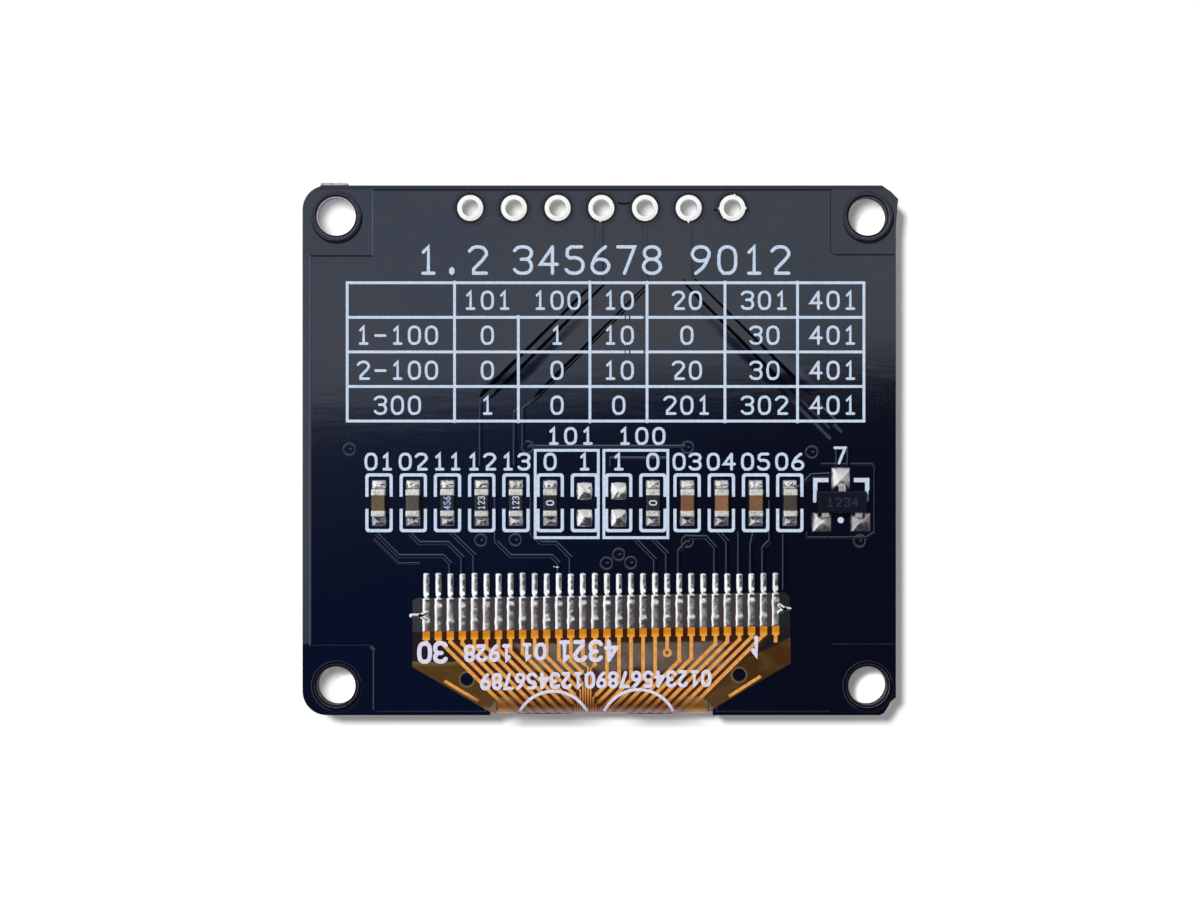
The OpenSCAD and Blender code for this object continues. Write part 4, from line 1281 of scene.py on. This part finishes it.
def makeCablePrint():
    # Figures turned half round, and two arcs that run down over the fold.
    look = cablePrint
    parts = []
    for text, x, y, size, pitch, line in look["rows"]:
        parts += figures(text, x, y, size, pitch, line, onTraces, look["inkHeight"], math.pi, cableSlant)
    turn = np.radians(np.linspace(*look["arcSpan"], 60))
    profile = strokeProfile(look["arcLine"], look["inkHeight"])
    for (x, y), radius in look["arcs"]:
        arc = np.stack([x + radius * np.cos(turn), y + radius * np.sin(turn)], axis=1)
        parts.append(carryProfile(arc[arc[:, 1] > look["foldLimit"]], profile, onTraces))
    return addPiece("cableFigures", parts, cableInk, "legend_ink")


foldSettings = {
    "spans": [(-4.87, -1.42), (1.37, 4.62)],
    "y": (-15.39, -15.33),
    "z": (2.02, 2.09),
    "cornerX": (-5.92, 6.35),
    "cornerY": -14.86,
    "cornerHalf": (0.3, 0.38),
    "cornerZ": 2.06,
}


def makeFoldCorners():
    # Film inside the fold, seen only through the narrow slits beside the neck.
    look = foldSettings
    parts = []
    for x in look["cornerX"]:
        outline = ringOutline(x, look["cornerY"], *look["cornerHalf"], square=1.0)
        parts.append(dome(outline, lambda r, px, py: 0.02 + 0 * px,
                          lambda px, py: look["cornerZ"] + 0 * px, 2))
    return addPiece("foldCorners", parts, film, "polyimide")


def makeFoldShade():
    # Two dark slivers under the outer fold of the cable, thinning out to both ends.
    look = foldSettings
    lowY, highY = look["y"]
    lowZ, highZ = look["z"]
    count = 30
    depth = (lowY - highY) * np.sin(np.linspace(0.02, math.pi - 0.02, count)) ** 0.35
    faces = gridFaces(4, count) + [[3 * count + k, 3 * count + 1 + k, k + 1, k] for k in range(count - 1)]
    faces += [[0, count, 2 * count, 3 * count], [4 * count - 1, 3 * count - 1, 2 * count - 1, count - 1]]
    parts = []
    for start, end in look["spans"]:
        along = np.linspace(start, end, count)
        rows = [np.stack([along, highY + offset + 0 * along, np.full(count, level)], axis=1)
                for offset, level in ((0.0, highZ), (0.0, lowZ), (depth, lowZ), (depth, highZ))]
        parts.append((np.concatenate(rows), faces))
    return addPiece("foldShade", parts, blackAndPaintedShade, "solder_mask")


makeCablePrint()
makeFoldCorners()
makeFoldShade()
print("cable print ready")


# Stage, light and camera.

stageSettings = {
    "distance": 160.0,
    "span": 69.77,
    "centre": (0.0465, 0.0174),
    "sunSlope": (0.275, -0.244),
    "sunSize": 9,
    "sunLevel": 0.90,
    "worldLevel": 0.14,
    "floorGlow": 0.17,
    # painted pools of light on the floor seen through the holes: middle and spans of the grid; shift,
    # inner and outer radius
    "screwGrid": (0.163, -0.041, 31.46, 27.79),
    "paintedScrewLight": (0.38, 0.6, 1.42),
    "pinGrid": (0.12, 14.35, 2.586),
    "paintedPinLight": (0.42, 0.1, 0.83),
    "pinShare": 0.9,
    "paintedPoolGlow": 0.8,
    # painted shadow on the floor beside the fold: darkness, and where each area fades in and out
    "foldShade": 0.47,
    "foldStrip": (-16.55, -16.08, -15.92, -15.7),
    "leftBulge": (-5.6, -4.3, -2.0, 1.6),
    "rightBulge": (1.0, 3.2, 4.3, 7.4),
    "rightShare": 0.85,
    "roomBright": (1.14, 1.16, 1.17, 1),
    "roomDark": (0.05, 0.05, 0.06, 1),
    "roomNear": (0.15, 0.16, 0.18, 1),
    "backdrop": (0.93, 0.94, 0.96, 1),
}


def makeFloor():
    # White floor: diffuse, with a little glow for the camera, painted pools of light under the holes, a
    # painted shadow beside the fold, and clear from below.
    half = 400.0
    corners = np.array([(-half, -half, 0), (half, -half, 0), (half, half, 0), (-half, half, 0)]) * mm
    mesh = bpy.data.meshes.new("floor")
    mesh.from_pydata(corners.tolist(), [], [[0, 1, 2, 3]])
    floor = bpy.data.objects.new("floor", mesh)
    scene.collection.objects.link(floor)
    look = stageSettings
    finish, shader, place = newFinish("whiteFloor")
    x, y = apart(place)[:2]

    def beside(value, start, period):
        # Distance to the nearest point of start + k * period, with its sign.
        turns = (value - start) / period
        return (turns - calc("ROUND", turns)) * period

    def spot(alongX, alongY, shift, near, far):
        # 1 up to the near radius round the shifted middle, falling to 0 at the far one.
        sideX = alongX - shift
        sideY = alongY + shift
        return fade(root(sideX * sideX + sideY * sideY), near, far, 1, 0)

    # painted pools of light on the floor under the screw holes and the header pins
    middleX, middleY, spanX, spanY = look["screwGrid"]
    alongX, alongY = beside(x, middleX + spanX / 2, spanX), beside(y, middleY + spanY / 2, spanY)
    screws = spot(alongX, alongY, *look["paintedScrewLight"]) * fade(abs(x), 17.2, 17.3, 1, 0)
    pinX, pinY, pinPitch = look["pinGrid"]
    pins = spot(beside(x, pinX, pinPitch), y - pinY, *look["paintedPinLight"]) * look["pinShare"]
    pins = pins * fade(abs(x), 9.0, 9.1, 1, 0)
    # painted shadow beside the two bulges of the folded cable
    bulges = highest(span(x, *look["leftBulge"]), span(x, *look["rightBulge"], look["rightShare"]))
    shade = span(y, *look["foldStrip"]) * look["foldShade"] * bulges
    # the glow carries the painted pools of light, and the painted shadow dims it
    glow = (look["floorGlow"] + highest(screws, pins) * look["paintedPoolGlow"]) * (1.0 - shade)
    camera, gloss = rayKinds(place.tree)
    # the painted shadow darkens the floor's colour beside the fold
    plug(shader, "Base Color", blendColour(shade, (0.9, 0.9, 0.9, 1), (0, 0, 0, 1)))
    plug(shader, "Roughness", 1.0)
    plug(shader, "Specular IOR Level", 0.0)
    plug(shader, "Emission Color", (1, 1, 1, 1))
    plug(shader, "Emission Strength", highest(camera, gloss) * glow)
    tree = place.tree
    clear = addNode(tree, "BsdfTransparent", "BSDF")
    below = addNode(tree, "NewGeometry", "Backfacing")
    white = Level(tree, shader.outputs["BSDF"])
    mix = addNode(tree, "MixShader", "Shader", {"Fac": below, 1: white, 2: clear})
    plug(tree.nodes["Material Output"], "Surface", mix)
    mesh.materials.append(finish)
    return floor


def makeWorld():
    # Plain light for matt surfaces. Gloss sees a bright room on the upper left and a dark one below
    # and to the right.
    look = stageSettings
    world = bpy.data.worlds.new("studio")
    scene.world = world
    world.use_nodes = True
    tree = world.node_tree
    background = tree.nodes["Background"]
    x, y = apart(addNode(tree, "TexCoord", "Generated"))[:2]
    above = fade(y - x * 0.08, 0.0115, 0.0325) * fade(y, 0.22, 0.5, 1.0, 0.55)
    left = fade(x, -0.42, -0.24, 1.35, 0.0)
    near = fade(x, -0.1, 0.06, 1.0, 0.0) * fade(y, -0.06, 0.01)
    dark = blendColour(near, look["roomDark"], look["roomNear"])
    room = blendColour(highest(above, left), dark, look["roomBright"])
    camera, gloss = rayKinds(tree)
    plain = look["worldLevel"]
    seen = blendColour(camera, (plain, plain, plain, 1), look["backdrop"])
    plug(background, "Color", blendColour(gloss, seen, room))
    plug(background, "Strength", 1.0)
    return world


def makeSun():
    # A soft sun that leans by two slopes and leaves no spot in the gloss.
    look = stageSettings
    light = bpy.data.lights.new("sun", "SUN")
    light.energy = look["sunLevel"] * math.pi
    light.angle = math.radians(look["sunSize"])
    sun = bpy.data.objects.new("sun", light)
    scene.collection.objects.link(sun)
    slopeX, slopeY = look["sunSlope"]
    sun.rotation_euler = (math.atan(slopeY), -math.atan(slopeX), 0)
    sun.visible_glossy = False
    return sun


def makeCamera():
    # A camera straight above: focal length = sensor width * distance / span seen on the board.
    look = stageSettings
    camera = bpy.data.cameras.new("camera")
    camera.sensor_width = 36
    camera.lens = 36 * look["distance"] / look["span"]
    camera.clip_start = 0.005
    camera.clip_end = 5
    holder = bpy.data.objects.new("camera", camera)
    scene.collection.objects.link(holder)
    x, y = look["centre"]
    holder.location = (x * mm, y * mm, (boardTop + look["distance"]) * mm)
    scene.camera = holder
    return holder


makeFloor()
makeWorld()
makeSun()
makeCamera()
scene.view_settings.view_transform = "Standard"
print("stage ready")
